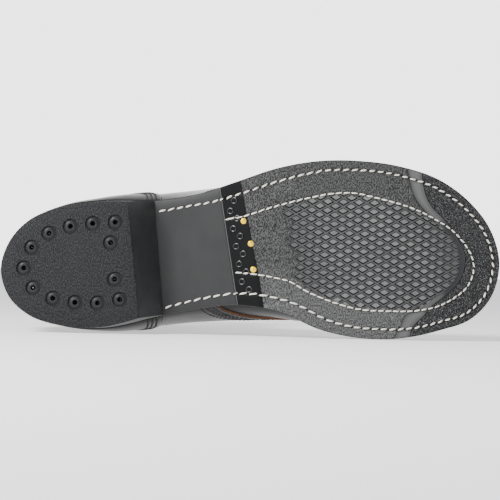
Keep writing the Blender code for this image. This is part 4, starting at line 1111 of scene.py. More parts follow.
def build_heel():
    """The rubber heel, with a bowl cut round each of its nails."""
    floor, top = heel_loop(True, HEEL_SIDE_POINTS), heel_loop(False, HEEL_SIDE_POINTS)
    rows = [np.column_stack([inset(floor, inwards), np.full(len(floor), z)]) for inwards, z in HEEL_CORNER]
    start = np.column_stack([floor, np.full(len(floor), HEEL_EDGE_RADIUS)])
    end = np.column_stack([top, underside(top[:, 0]) - GAP / 2])
    rows += [start + (end - start) * share for share in np.linspace(0, 1, HEEL_WALL_ROWS)]
    made = piece(
        "heel_block", np.concatenate(rows), tube_faces(len(rows), len(floor)),
        [heel_material(), breast_material(), edge_material(), bowl_material()],
        stands_for=["heel"], slot="heel", sharp=HEEL_SHARP,
    )
    places = heel_nail_places()
    bowls, faces = [], []
    for place in places:
        faces += tube_faces(len(NAIL_BOWL), BOWL_SIDES, first=len(bowls) * len(NAIL_BOWL) * BOWL_SIDES)
        bowls.append(turned(place, NAIL_BOWL, BOWL_SIDES))
    tool = placed("nail_bowls", mesh_from("nail_bowls", np.concatenate(bowls), faces))
    tool.matrix_world = BOOT
    cut = made.modifiers.new("bowls", "BOOLEAN")
    cut.operation = "DIFFERENCE"
    cut.solver = "EXACT"
    cut.object = tool
    result = bpy.data.meshes.new_from_object(made.evaluated_get(bpy.context.evaluated_depsgraph_get()))
    made.modifiers.remove(cut)
    made.data = result
    bpy.data.objects.remove(tool)
    soften(result, HEEL_SHARP)
    rubber, breast, edge, bowl = range(4)
    for face in result.polygons:
        middle, normal = face.center / MM, face.normal
        if any(math.hypot(middle.x - x, middle.y - y) < BOWL_REACH for x, y in places):
            face.material_index = bowl if middle.z > 0.02 else rubber
        elif abs(normal.z) < 0.8 and middle.z > 0.6 and normal.x > 0.7:
            face.material_index = breast
        elif abs(normal.z) < 0.6 and middle.z > 0.6:
            face.material_index = edge


def nail_heads(name, places, heads, material, **options):
    """Turned nail heads, joined as one mesh. Each head has its own profile."""
    sides = 20
    points, faces = [], []
    for place, head in zip(places, heads):
        first = len(points) * sides * len(head)
        faces += grid_faces(len(head), sides, around=True, flip=True, first=first)
        points.append(turned(place, head, sides))
    piece(name, np.concatenate(points), faces, [material], **options)


def build_nails():
    """Steel heads at the foot of the heel's holes and three brass heads in the band."""
    places = heel_nail_places()
    sinks = [RANDOM.uniform(*STEEL_SUNK) for place in places]
    heads = [[(r, h + sunk) for r, h in STEEL_HEAD] for sunk in sinks]
    nail_heads("heel_nails", places, heads, metal_material("nail_steel", STEEL_LIGHT, STEEL_DARK, 0.3))
    r = BRASS_NAIL_RADIUS
    head = ((r, 0.4), (r, -0.35), (r * 0.86, -0.6), (r * 0.5, -0.74), (0.05, -0.78))
    bases = [float(tap_bottom(*np.array(place))) for place in BRASS_NAILS]
    heads = [[(radius, base + h) for radius, h in head] for base in bases]
    nail_heads(
        "brass_nail_heads", BRASS_NAILS, heads,
        metal_material("nail_brass", BRASS_LIGHT, BRASS_DARK, 0.22, BRASS_METALLIC),
        stands_for=[f"brass_nail_{k + 1}" for k in range(len(BRASS_NAILS))], slot="brass_nail",
    )


def build_rings():
    """Two rows of small moulded rings on the smooth band."""
    sides, section = 28, 8
    points, faces = [], []
    turn, roll = circle(sides)[:, None], circle(section)[None, :]
    reach = MOULDED_RING_RADIUS + RING_SECTION[0] * np.cos(roll)
    for first, last, count in RING_ROWS.values():
        for place in np.linspace(first, last, count):
            x = place[0] + reach * np.cos(turn)
            y = place[1] + reach * np.sin(turn)
            z = tap_bottom(x, y) - RING_SUNK + RING_SECTION[1] * np.sin(roll)
            faces += torus_faces(sides, section, len(points) * sides * section)
            points.append(np.stack([x, y, z], axis=2).reshape(-1, 3))
    piece("moulded_rings", np.concatenate(points), faces, [ring_material()])


def stitch(centre, along, normal, length, width, height, slant):
    """One stitch: a low pad of thread with slanted ends that dips into its holes."""
    across = np.cross(normal, along)
    turn = circle(STITCH_SIDES)
    points = []
    for share, full in zip(STITCH_SHARES, STITCH_SWELL):
        side = np.cos(turn) * width / 2 * full
        rise = np.sin(turn) * height * 0.55 * full + height * (full - 0.45)
        ahead = share * length / 2 + slant * side
        points += list(centre + along * ahead[:, None] + across * side[:, None] + normal * rise[:, None])
    return points


def needle_hole_shade(centre, along, normal, length, width):
    """A needle hole between two stitches, as a shallow pad level with the face that carries its painted
    shade.
    """
    across = np.cross(normal, along)
    turn = circle(STITCH_SIDES)
    rim = along * (np.cos(turn) * length / 2)[:, None] + across * (np.sin(turn) * width / 2)[:, None]
    return list(centre + rim * 0.8 + normal * 0.07) + list(centre + rim - normal * 0.25)


def seam_piece(name, rows, material, stitch_size, slant=0.0, lean=0.0, hole=None):
    """Stitches along lines, joined as one mesh. Each row is (points, normals, pitch)."""
    length, width, height = stitch_size
    points, faces, slots = [], [], []
    for line, normals, pitch in rows:
        along_line = lengths_along(line)
        total = along_line[-1]
        step = np.broadcast_to(pitch, len(line))
        reach = np.concatenate([[0], np.cumsum(np.diff(along_line) / step[1:])])
        count = max(2, int(round(reach[-1])))
        at = np.interp((np.arange(count) + 0.5) * reach[-1] / count, reach, along_line)
        sizes = np.interp(at, along_line, step) / step.mean()
        here = spaced(line, at)
        ways = spaced(line, np.minimum(at + 0.4, total)) - spaced(line, np.maximum(at - 0.4, 0))
        ups = unit(interpolate(normals, along_line, at))
        for place, along, normal, share in zip(here, ways, ups, sizes):
            along = unit(along - normal * (along @ normal))
            along = unit(along + np.cross(normal, along) * RANDOM.normal(lean, STITCH_LEAN_SPREAD))
            size = length * share ** 1.5 * RANDOM.uniform(*STITCH_LENGTH_SPREAD)
            made = grid_faces(len(STITCH_SHARES), STITCH_SIDES, around=True, first=len(points))
            points += stitch(place, along, normal, size, width, height, slant)
            slots += [0] * len(made)
            faces += made
            if hole:
                top = list(range(len(points), len(points) + STITCH_SIDES))
                made = grid_faces(2, STITCH_SIDES, around=True, first=top[0])
                made += [top, [k + STITCH_SIDES for k in top[::-1]]]
                points += needle_hole_shade(place + along * (total / count / 2), along, normal, *hole)
                slots += [1] * len(made)
                faces += made
    piece(name, points, faces, [material, hole_shade_material()], face_slots=slots)


def sole_line(plan):
    """A line on the sole's underside with its normals, from plan points."""
    z = tread_z(plan[:, 0], plan[:, 1])
    run = np.gradient(plan, axis=0)
    slope = np.gradient(z) / np.linalg.norm(run, axis=1)
    normals = np.column_stack([unit(run) * slope[:, None], -np.ones(len(plan))])
    return np.column_stack([plan, z]), unit(normals)


def build_sole_seams(white):
    """The two rows of white stitches on the sole, which spread out towards the waist."""
    outer = spaced_seam(outer_seam(), 0.8)
    inner = spaced_seam(curve_through(INNER_SEAM, 12), 0.8)
    waist = np.where(outer[:, 1] < 0, WAIST_PITCH["lateral"], WAIST_PITCH["medial"])
    pitch = waist + (TOE_PITCH - waist) * blend(outer[:, 0], 150.0, 280.0)
    seam_piece("outsole_seam", [(*sole_line(outer), pitch)], white, OUTER_STITCH, 0.8, 0.13, OUTER_HOLE)
    pitch = TOE_PITCH - 0.7 * blend(inner[:, 0], 200.0, 280.0) + 3.0 * blend(inner[:, 0], 148.0, 138.0)
    seam_piece("half_sole_seam", [(*sole_line(inner), pitch)], white, INNER_STITCH, 0.6, 0.04, INNER_HOLE)


def section_values(u):
    """The section table's columns at u. Up the back seam, back_x follows the rise and not u."""
    rows = tuple(SECTIONS.values())
    at = np.arange(len(rows))
    found = {name: smooth(at, column(name, SECTION_COLUMNS, rows), u) for name in SECTION_COLUMNS}
    seam = rows[HEEL_BACK_U:]
    rises = column("rise", SECTION_COLUMNS, seam)
    up_seam = smooth(rises, column("back_x", SECTION_COLUMNS, seam), found["rise"])
    found["back_x"] = np.where(u >= HEEL_BACK_U, up_seam, found["back_x"])
    return found


def section_lines(u):
    """Dense lines over the sections at u, by side, each from the crest down to the feather line."""
    value = {name: v[:, None] for name, v in section_values(u).items()}
    back_z = feather_z(value["back_x"]) + value["rise"]
    run_x, run_z = value["front_x"] - value["back_x"], value["front_z"] - back_z
    length = np.hypot(run_x, run_z)
    way_x, way_z = run_x / length, run_z / length
    low = value["widest"] * length
    share = np.linspace(0, 1, SECTION_DETAIL)[None, :] ** 2
    turn = np.linspace(0, math.pi / 2, SECTION_DETAIL)[None, 1:]
    roof = 2.0 / value["roof"]
    crest = value["crest_y"]
    on_foot = np.maximum(value["back_x"], HEEL_SEAT_X)
    seat_x = np.where(u[:, None] < HEEL_BACK_U, on_foot, HEEL_SEAT_X)
    lines = {}
    for side in ("lateral", "medial"):
        wide = value[side]
        seat = edge_y(FEATHER_EDGES, side, seat_x + way_x * low * share)
        flank_y = seat + (wide - seat[:, -1:]) * (1 - (1 - share) ** 2)
        roof_y = crest + (wide - crest) * np.maximum(np.cos(turn), 0) ** roof
        roof_h = low + (length - low) * np.sin(turn) ** roof
        y = np.concatenate([flank_y, roof_y], axis=1)
        h = np.concatenate([low * share, roof_h], axis=1)
        line = np.stack([value["back_x"] + way_x * h, y, back_z + way_z * h], axis=2)
        lines[side] = line[:, ::-1]
    return lines


def trough(off, wide, swell, apart):
    """A soft trough with a swell on both sides, by the distance off its middle."""
    return swell * np.exp(-((abs(off) - apart * wide) / wide) ** 2) - np.exp(-((off / wide) ** 2))


def crease_depth(points):
    """How far the leather stands out or sinks at each point, in soft troughs with a swell beside them."""
    x, y, z = points[..., 0], points[..., 1], points[..., 2]
    depth = np.zeros(x.shape)
    for top_x, foot_x, deep, wide in VAMP_CREASES:
        off = x - np.interp(z, (30.0, 72.0), (foot_x, top_x)) + 2.0 * np.sin(y / 17.0)
        depth += blend(z, 30.0, 48.0) * blend(z, 96.0, 84.0) * deep * trough(off, wide, 0.45, 2.1)
    for line, deep, wide in ANKLE_CREASES:
        xs, zs = np.array(line).T
        off = z - np.interp(x, xs, zs) + 2.5 * np.sin(x / 19.0 + y / 30.0)
        fade = blend(x, xs[0] - 18.0, xs[0] + 6.0) * blend(x, xs[-1] + 12.0, xs[-1] - 8.0)
        depth += fade * deep * trough(off, wide, 0.4, 2.0)
    return depth


def face_normals(grid, closed):
    """Outward unit normals of a grid whose rings run from lateral to medial, shared along the back seam."""
    down_rings = np.gradient(grid, axis=0)
    round_ring = np.gradient(grid, axis=1)
    seam = grid[closed, 1] - grid[closed, -2]
    round_ring[closed, 0] = seam
    round_ring[closed, -1] = seam
    normal = np.cross(round_ring, down_rings)
    normal /= np.maximum(np.linalg.norm(normal, axis=2), 1e-9)[:, :, None]
    shared = normal[closed, 0] + normal[closed, -1]
    shared = unit(shared)
    normal[closed, 0] = shared
    normal[closed, -1] = shared
    return normal


class UpperFace:
    """The upper's outer face as a grid of rings, with what each point carries.

    Columns of data: place, normal, u and the signed distance from the crest, negative on the lateral side.
    """

    def __init__(self):
        u = np.arange(0, COLLAR_U + 0.001, 1 / RINGS_PER_ROW)
        lines = section_lines(u)
        rings, crest = [], []
        for side in ("lateral", "medial"):
            length = np.array([lengths_along(line)[-1] for line in lines[side]])
            slot = np.minimum(SLOT_HALF_WIDTH, SLOT_SHARE_LIMIT * length)[:, None]
            shares = 1 - np.linspace(1, 0, SIDE_COLUMNS + 1)[None, :] ** FOOT_CROWDING
            in_slot = np.linspace(0, 1, SLOT_COLUMNS + 1)[None, :-1]
            at = np.concatenate([slot * in_slot, slot + (length[:, None] - slot) * shares], axis=1)
            places = np.array([spaced(line, row) for line, row in zip(lines[side], at)])
            if side == "lateral":
                rings.append(places[:, ::-1])
                crest.append(-at[:, ::-1])
            else:
                rings.append(places[:, 1:])
                crest.append(at[:, 1:])
        grid = np.concatenate(rings, axis=1)
        self.crest_column = SLOT_COLUMNS + SIDE_COLUMNS
        crest = np.concatenate(crest, axis=1)
        closed = u >= HEEL_BACK_U
        grid = grid + face_normals(grid, closed) * crease_depth(grid)[:, :, None]
        tip = grid[0]
        middle = (tip[0] + tip[-1]) / 2
        shares = np.array(TIP_SHARES)[:, None, None]
        lead = middle + shares * (tip - middle) + (1 - shares ** 2) * np.array((TIP_BULGE, 0, 0))
        grid = np.concatenate([lead, grid])
        u = np.concatenate([np.array(TIP_SHARES) - 1.0, u])
        crest = np.concatenate([np.repeat(crest[:1], len(TIP_SHARES), axis=0), crest])
        closed = u >= HEEL_BACK_U
        normal = face_normals(grid, closed)
        normal[0] = (1.0, 0.0, 0.0)
        rows, columns = u.size, grid.shape[1]
        index = np.arange(rows * columns).reshape(rows, columns)
        index[closed, -1] = index[closed, 0]
        self.grid, self.normal, self.u = grid, normal, u
        spread = np.repeat(u, columns)[:, None]
        places, normals = grid.reshape(-1, 3), normal.reshape(-1, 3)
        self.data = np.concatenate([places, normals, spread, crest.reshape(-1, 1)], axis=1)
        corners = [index[:-1, :-1], index[:-1, 1:], index[1:, 1:], index[1:, :-1]]
        quads = np.stack([c.ravel() for c in corners], axis=1)
        self.polygons = [tuple(q) for q in quads.tolist()]


FACE = UpperFace()
# Columns of the face's data, and the first of those that a panel adds
PLACE, NORMAL, U_COLUMN, CREST_COLUMN, FIELD = slice(0, 3), slice(3, 6), 6, 7, 8


def above_level(data, level, key):
    """How far each row's column is above a level, and never just on it."""
    value = data[:, key] - level
    return np.where(abs(value) < 1e-6, 1e-6, value)


def crossing(data, value, a, b):
    """The row where the line between two rows crosses a level, and the pair that names it."""
    a, b = min(a, b), max(a, b)
    share = value[a] / (value[a] - value[b])
    return (a, b), data[a] + share * (data[b] - data[a])


def split(data, polygons, level):
    """Cuts each polygon that a level of the first field crosses, at points shared with its neighbours."""
    value = above_level(data, level, FIELD)
    positive = value > 0
    rows, made, result = [], {}, []
    for polygon in polygons:
        signs = [positive[v] for v in polygon]
        if all(signs) or not any(signs):
            result.append(polygon)
            continue
        halves = {True: [], False: []}
        for a, b in zip(polygon, polygon[1:] + polygon[:1]):
            halves[bool(positive[a])].append(a)
            if positive[a] != positive[b]:
                pair, row = crossing(data, value, a, b)
                if pair not in made:
                    made[pair] = len(data) + len(rows)
                    rows.append(row)
                halves[True].append(made[pair])
                halves[False].append(made[pair])
        result += [tuple(half) for half in halves.values() if len(half) > 2]
    return (np.concatenate([data, np.array(rows)]) if rows else data), result


def contours(data, polygons, level, key=FIELD):
    """Lines along a level of one column, each as points and normals on the upper's face."""
    value = above_level(data, level, key)
    ends, rows = {}, {}
    for polygon in polygons:
        crossed = []
        for a, b in zip(polygon, polygon[1:] + polygon[:1]):
            if (value[a] > 0) != (value[b] > 0):
                pair, row = crossing(data, value, a, b)
                rows[pair] = row
                crossed.append(pair)
        if len(crossed) == 2:
            ends.setdefault(crossed[0], []).append(crossed[1])
            ends.setdefault(crossed[1], []).append(crossed[0])
    lines = []
    left = set(ends)
    while left:
        loose = [e for e in left if sum(n in left for n in ends[e]) < 2]
        here = min(loose) if loose else min(left)
        chain = []
        while here is not None:
            left.discard(here)
            chain.append(rows[here])
            following = [n for n in ends[here] if n in left]
            here = min(following) if following else None
        if len(chain) > 2:
            chain = np.array(chain)
            lines.append((chain[:, PLACE], chain[:, NORMAL]))
    return lines


def sheet(
    name, data, polygons, low, high, materials, stands_for, slot, seam_steps=EDGE_STEPS, raw_edge=None,
    furrow=FIELD,
):
    """A closed piece of leather on the upper's face where its field is positive, with rounded edges."""
    for level in seam_steps:
        data, polygons = split(data, polygons, level)
    polygons = [p for p in polygons if data[list(p), FIELD].mean() > 0]
    used = sorted({v for p in polygons for v in p})
    index = {v: k for k, v in enumerate(used)}
    faces = [tuple(index[v] for v in p) for p in polygons]
    data = data[used]
    count = len(used)
    edge = np.clip(data[:, FIELD], 0, seam_steps[-1])
    radius = min(seam_steps[-1], high - low)
    rise = high - radius + radius * np.sqrt(np.clip(1 - (1 - edge / seam_steps[-1]) ** 2, 0, 1))
    normal = unit(data[:, NORMAL])
    points = np.concatenate([data[:, PLACE] + normal * rise[:, None], data[:, PLACE] + normal * low])
    sides = {}
    for face in faces:
        for a, b in zip(face, face[1:] + face[:1]):
            sides.setdefault((min(a, b), max(a, b)), []).append((a, b))
    rim = [uses[0] for uses in sides.values() if len(uses) == 1]
    walls = [(b, a, a + count, b + count) for a, b in rim]
    raw = [int(raw_edge is not None and all(raw_edge(data[v]) for v in wall[:2])) for wall in walls]
    face_slots = [0] * (2 * len(faces)) + raw
    above_welt = data[:, PLACE][:, 2] - feather_z(data[:, PLACE][:, 0])
    values = {"edge": np.tile(data[:, furrow], 2), "above_welt": np.tile(above_welt, 2)}
    inner_faces = [tuple(v + count for v in face[::-1]) for face in faces]
    return piece(
        name, points, faces + inner_faces + walls, materials, stands_for=stands_for, slot=slot,
        fields=values, face_slots=face_slots, sharp=50.0,
    )


def on_face(u, crest):
    """Place, normal and direction up the boot on the upper's face, at u and a distance from the crest."""
    row = len(TIP_SHARES) + u * RINGS_PER_ROW
    low = int(min(math.floor(row), len(FACE.u) - 2))
    columns = FACE.grid.shape[1]
    found = []
    for r in (low, low + 1):
        at = FACE.data[r * columns:(r + 1) * columns, CREST_COLUMN]
        found.append([interpolate(values[r], at, crest) for values in (FACE.grid, FACE.normal)])
    place, normal = (a + (row - low) * (b - a) for a, b in zip(*found))
    return place, unit(normal), unit(found[1][0] - found[0][0])


def eyelet_rows():
    """The section that each pair of eyelets lies on, evenly spaced up the throat."""
    u = np.linspace(THROAT_U, COLLAR_U, 80)
    along = lengths_along(np.array([on_face(v, EYELET_FROM_CREST)[0] for v in u]))
    last = along[-1] - EYELET_MARGIN - BINDING_DEPTH
    return np.interp(np.linspace(EYELET_MARGIN, last, EYELET_PAIRS), along, u)


EYELET_U = eyelet_rows()


def slot_distance():
    """Distance of each point of the upper's face from the throat's slot, which ends in a round."""
    round_u = THROAT_U + SLOT_HALF_WIDTH / SLOT_ROW_LENGTH
    before = np.maximum((round_u - FACE.data[:, U_COLUMN]) * SLOT_ROW_LENGTH, 0)
    return np.hypot(FACE.data[:, CREST_COLUMN], before) - SLOT_HALF_WIDTH


def eyelet_distance():
    """Distance of each point of the upper's face from the nearest lace hole's edge."""
    nearest = np.full(len(FACE.data), 99.0)
    for u in EYELET_U:
        for side in (-1, 1):
            centre = on_face(u, side * EYELET_FROM_CREST)[0]
            nearest = np.minimum(nearest, np.linalg.norm(FACE.data[:, PLACE] - centre, axis=1))
    return nearest - LACE_HOLE


def side_view(outline):
    """Distance of each point of the upper's face from a side-view outline, positive inside it."""
    return inside_of(FACE.data[:, [0, 2]], np.array(outline))


def binding_line():
    """The binding's lower edge in the side view, from behind the back seam to in front of the throat."""
    back, front = FACE.grid[-1, 0], FACE.grid[-1, FACE.crest_column]
    down = np.array((0, 0, BINDING_DEPTH))
    reach = (front - back) * 0.3
    return [(p[0], p[2]) for p in (back - reach - down, front + reach - down)]


def carrying(*fields):
    """The upper's face with more columns, and the polygons that the first of them can reach."""
    data = np.column_stack([FACE.data, *fields])
    reached = fields[0] > 0
    return data, [p for p in FACE.polygons if any(reached[v] for v in p)]


def seams_along(data, polygons, rows, top, key=FIELD):
    """Lines for stitches on a panel's top face, at levels of one column."""
    lines = [line for row in rows for line in contours(data, polygons, row, key)]
    return [(points + normals * top, normals, UPPER_PITCH) for points, normals in lines]


def panel(node, field, material_name, rows):
    """A leather panel on the upper's face where a field is positive, and the lines of its stitches."""
    data, polygons = carrying(field)
    top = GAP + PANEL_THICK[node]
    leather = leather_material(material_name, rows)
    sheet(f"{node}_leather", data, polygons, PANEL_BASE, top, [leather], [node], "upper_leather")
    return seams_along(data, polygons, rows, top)


def build_upper():
    """The upper's leather, the panels sewn on it and their seams."""
    black = leather_material("upper_leather_plain", welt_shade_reach=36.0)
    slot = slot_distance()
    holes = eyelet_distance()
    data, polygons = carrying(np.minimum(slot, holes))
    sheet(
        "upper_leather", data, polygons, -LEATHER_WALL, 0.0, [black], ["upper"], "upper_leather",
        seam_steps=WALL_STEPS,
    )
    cap_outline = [*CAP_SEAM, (330.0, BELOW_FEATHER_Z), (330.0, CAP_SEAM[0][1])]
    seams = panel("toe_cap", side_view(cap_outline), "cap_leather", CAP_ROWS)

    counter_edge = curve_through(COUNTER_EDGE, 6)
    counter_front_x = COUNTER_EDGE[-1][0]
    counter_foot = [(counter_front_x, BELOW_FEATHER_Z), (-40.0, BELOW_FEATHER_Z)]
    counter_outline = np.concatenate([counter_edge, counter_foot])
    seams += panel("counter", side_view(counter_outline), "counter_leather", COUNTER_ROWS)

    binding_back, binding_front = binding_line()
    above_counter = counter_edge + GAP
    from_seam = abs(FACE.data[:, 1] - BACK_SEAM_Y)
    strip_outline = [tuple(p) for p in above_counter if p[0] < 40.0]
    strip_outline += [(40.0, binding_back[1]), binding_back]
    strip = np.minimum(side_view(strip_outline), BACKSTAY_HALF_WIDTH - from_seam)
    seams += panel("backstay", strip, "backstay_leather", BACKSTAY_ROWS)

    vamp_seam = curve_through(VAMP_SEAM, 6)
    quarter_foot = [(counter_front_x + GAP, BELOW_FEATHER_Z), (124.0, BELOW_FEATHER_Z), (128.5, 18.0)]
    under_binding = [(x, z - GAP) for x, z in (binding_front, binding_back)]
    in_outline = side_view(np.concatenate([above_counter, quarter_foot, vamp_seam, under_binding]))
    middle = float(section_values(np.array([THROAT_U]))["crest_y"][0])
    by_strip = (FACE.data[:, 0] < 50.0) & (FACE.data[:, 2] > 60.0)
    off_strip = np.where(by_strip, from_seam - BACKSTAY_HALF_WIDTH - GAP, 99.0)
    to_vamp = distance_to(FACE.data[:, [0, 2]], vamp_seam)
    raw = raw_edge_material()
    quarter_leather = leather_material("quarter_leather", VAMP_ROWS[:4])
    top = GAP + PANEL_THICK["quarter"]
    for side, sign in (("medial", 1.0), ("lateral", -1.0)):
        own_side = sign * (FACE.data[:, 1] - middle) - GAP / 2
        field = np.minimum.reduce([in_outline, own_side, slot, off_strip, holes])
        data, polygons = carrying(field, to_vamp, slot)
        sheet(
            f"quarter_{side}_leather", data, polygons, PANEL_BASE, top, [quarter_leather, raw],
            [f"quarter_{side}"], "upper_leather", seam_steps=CUT_STEPS,
            raw_edge=lambda row: row[FIELD + 1] < RAW_EDGE_REACH, furrow=FIELD + 1,
        )
        inside = [p for p in polygons if data[list(p), FIELD].min() > 0.8]
        seams += seams_along(data, inside, VAMP_ROWS, top, FIELD + 1)
        up_throat = [p for p in inside if data[list(p), U_COLUMN].min() > THROAT_U]
        seams += seams_along(data, up_throat, EYESTAY_ROWS, top, FIELD + 2)
    thread = thread_material("thread_black", THREAD_BLACK_LIGHT, THREAD_BLACK)
    seam_piece("upper_seams", seams, thread, UPPER_STITCH)
    build_binding(thread)


def build_binding(thread):
    """A folded strip over the collar's edge, stitched through near its lower edge."""
    columns, crest = FACE.grid.shape[1], FACE.crest_column
    lateral = list(range(crest - SLOT_COLUMNS, -1, -1))
    order = lateral + list(range(columns - 2, crest + SLOT_COLUMNS - 1, -1))
    low, outer, inner = BINDING_DEPTH, GAP + PANEL_THICK["collar_binding"] - 0.6, LEATHER_WALL + 1.4
    profile = [(low, GAP), (low, outer - 0.7), (low - 0.3, outer - 0.2), (low - 0.9, outer)]
    profile += [(6.5, outer + 0.1), (3.5, outer + 0.1), (1.0, outer)]
    middle, half = (outer - inner) / 2, (outer + inner) / 2
    for turn in np.linspace(0, math.pi, 9)[1:-1]:
        profile.append((-1.5 * math.sin(turn), middle + half * math.cos(turn)))
    profile += [(1.0, -inner), (low - 1.0, -inner), (low, -inner + 0.6), (low, -LEATHER_WALL)]
    down, out = np.array(profile).T[:, :, None]
    points, seam, seam_normals = [], [], []
    for j in order:
        line, normals = FACE.grid[::-1, j][:40], FACE.normal[::-1, j][:40]
        along = lengths_along(line)
        on_line = np.maximum(down[:, 0], 0)
        over_edge = np.maximum(-down, 0) * unit(line[0] - line[1])
        places, outs = interpolate(line, along, on_line), interpolate(normals, along, on_line)
        points.append(places + over_edge + outs * out)
        seam_normals.append(interpolate(normals, along, low - BINDING_ROW))
        seam.append(interpolate(line, along, low - BINDING_ROW) + seam_normals[-1] * outer)
    leather = leather_material("binding_leather", welt_shade_reach=0.0)
    piece(
        "collar_roll", np.concatenate(points), tube_faces(len(order), len(profile), flip=True), [leather],
        stands_for=["collar_binding"], slot="upper_leather", sharp=50.0,
    )
    seam_piece("binding_seam", [(np.array(seam), np.array(seam_normals), UPPER_PITCH)], thread, UPPER_STITCH)


def build_tongue():
    """The tongue under the throat, a little crowned, with rounded upper corners."""
    u = np.linspace(TONGUE_START, len(SECTION_NAMES) - 1, 120)
    lines = section_lines(u)
    across = np.linspace(-1, 1, 33)
    to_top = np.clip((u - (u[-1] - 0.75)) / 0.8, 0, 1)
    reach = TONGUE_HALF_WIDTH * np.sqrt(np.clip(1 - to_top ** 3, 0.1, 1))
    full = across * TONGUE_HALF_WIDTH
    face = np.array([
        np.concatenate([spaced(lateral, -full[full < 0]), spaced(medial, full[full >= 0])])
        for lateral, medial in zip(lines["lateral"], lines["medial"])
    ])
    tilt = np.cross(np.gradient(face, axis=1), np.gradient(face, axis=0))
    grid, normal = (
        np.array([interpolate(row, full, across * wide) for row, wide in zip(values, reach)])
        for values in (face, tilt)
    )
    normal = unit(normal)
    from_side, from_top = (1 - abs(across))[None, :] * 12, (np.arange(len(u))[::-1] * 0.6)[:, None]
    edge = np.clip(np.minimum(from_side, from_top), 0, 1)
    thick = (TONGUE_THICK * (0.35 + 0.65 * np.sqrt(edge)))[:, :, None]
    outer = -(LEATHER_WALL + 2 * GAP + TONGUE_SINK) - (TONGUE_THICK - thick) / 2
    rows, columns = len(u), len(across)
    count = rows * columns
    points = np.concatenate([grid + normal * outer, grid + normal * (outer - thick)]).reshape(-1, 3)
    faces = grid_faces(rows, columns) + grid_faces(rows, columns, flip=True, first=count)
    index = np.arange(count).reshape(rows, columns)
    rim = [*index[0], *index[1:, -1], *index[-1, -2::-1], *index[-2:0:-1, 0]]
    faces += [(b, a, a + count, b + count) for a, b in zip(rim, rim[1:] + rim[:1])]
    leather = leather_material("tongue_leather_soft", light=0.026, welt_shade_reach=0.0)
    piece(
        "tongue_leather", points, faces, [leather], stands_for=["tongue"], slot="tongue_leather", sharp=60.0,
    )


def build_eyelets():
    """Rolled black metal eyelets with a short tube through the leather."""
    sides = 24
    base = PANEL_THICK["quarter"] + GAP + 0.1
    section = (
        (EYELET_RADIUS, base), (EYELET_RADIUS - 0.05, base + 0.25), (3.85, base + 0.6), (3.3, base + 0.85),
        (2.75, base + 0.75), (2.4, base + 0.4), (2.2, base - 0.4), (2.2, -2.7), (2.35, -2.7),
        (2.35, base - 0.3),
    )
    points, faces, names = [], [], []
    for side, sign in (("lateral", -1), ("medial", 1)):
        for number, u in enumerate(EYELET_U, 1):
            centre, normal, up = on_face(u, sign * EYELET_FROM_CREST)
            across = np.cross(up, normal)
            faces += torus_faces(sides, len(section), len(points))
            for turn in circle(sides):
                out = across * math.cos(turn) + up * math.sin(turn)
                points += [centre + out * r + normal * h for r, h in section]
            names.append(f"eyelet_{side}_{number:02d}")
    metal = metal_material("eyelet_black", EYELET_LIGHT, EYELET_DARK, 0.28)
    piece("eyelet_rings", points, faces, [metal], stands_for=names, slot="eyelet", sharp=70.0)


def lace_strand(start_u, end_u, start_side, near, middle, far):
    """Points of one strand and its frames, from an eyelet to the one on the other side."""
    rows = curve_through([(-d, h) for d, h in near] + [(0.0, middle)] + list(far), 5)
    centres, wides = [], []
    for d, h in rows:
        share = (d + EYELET_FROM_CREST) / (2 * EYELET_FROM_CREST)
        u = start_u + np.clip(share, 0, 1) * (end_u - start_u)
        place, normal, up = on_face(u, start_side * -d)
        centres.append(place + normal * h)
        wides.append(up)
    return np.array(centres), np.array(wides)


def build_lace():
    """A bar over the lowest eyelets, then crossings that come out of one eyelet and dive under the next."""
    sides = 10
    strands = [(EYELET_U[0], EYELET_U[0], 1, LACE_OVER, LACE_BAR_RISE, LACE_OVER[::-1])]
    for k, (low, high) in enumerate(zip(EYELET_U, EYELET_U[1:])):
        near = LACE_OVER if k else LACE_UNDER[::-1]
        for side in (1, -1):
            strands.append((low, high, side, near, LACE_CROSS_RISE + side * LACE_CROSS_LIFT, LACE_UNDER))
    points, faces, along_all, around_all = [], [], [], []
    for strand in strands:
        centres, wides = lace_strand(*strand)
        runs = unit(np.gradient(centres, axis=0))
        faces += tube_faces(len(centres), sides, flip=True, first=len(points))
        for here, way, wide, at in zip(centres, runs, wides, lengths_along(centres)):
            wide = unit(wide - way * (wide @ way))
            thin = np.cross(way, wide)
            for turn in circle(sides):
                out = wide * math.cos(turn) * LACE_HALF_WIDTH + thin * math.sin(turn) * LACE_HALF_THICK
                points.append(here + out)
                along_all.append(at)
                around_all.append(abs(turn - math.pi) * 3.0)
    names = ["lace_bar"] + [f"lace_cross_{k}" for k in range(1, EYELET_PAIRS)]
    piece("lace", points, faces, [lace_material()], stands_for=names, slot="lace",
          fields={"along": along_all, "around": around_all}, sharp=60.0)


def build_insole():
    """The insole's own solid, with a leather of its own."""
    frame["nodes"]["insole"].material_slots[0].material = insole_material()


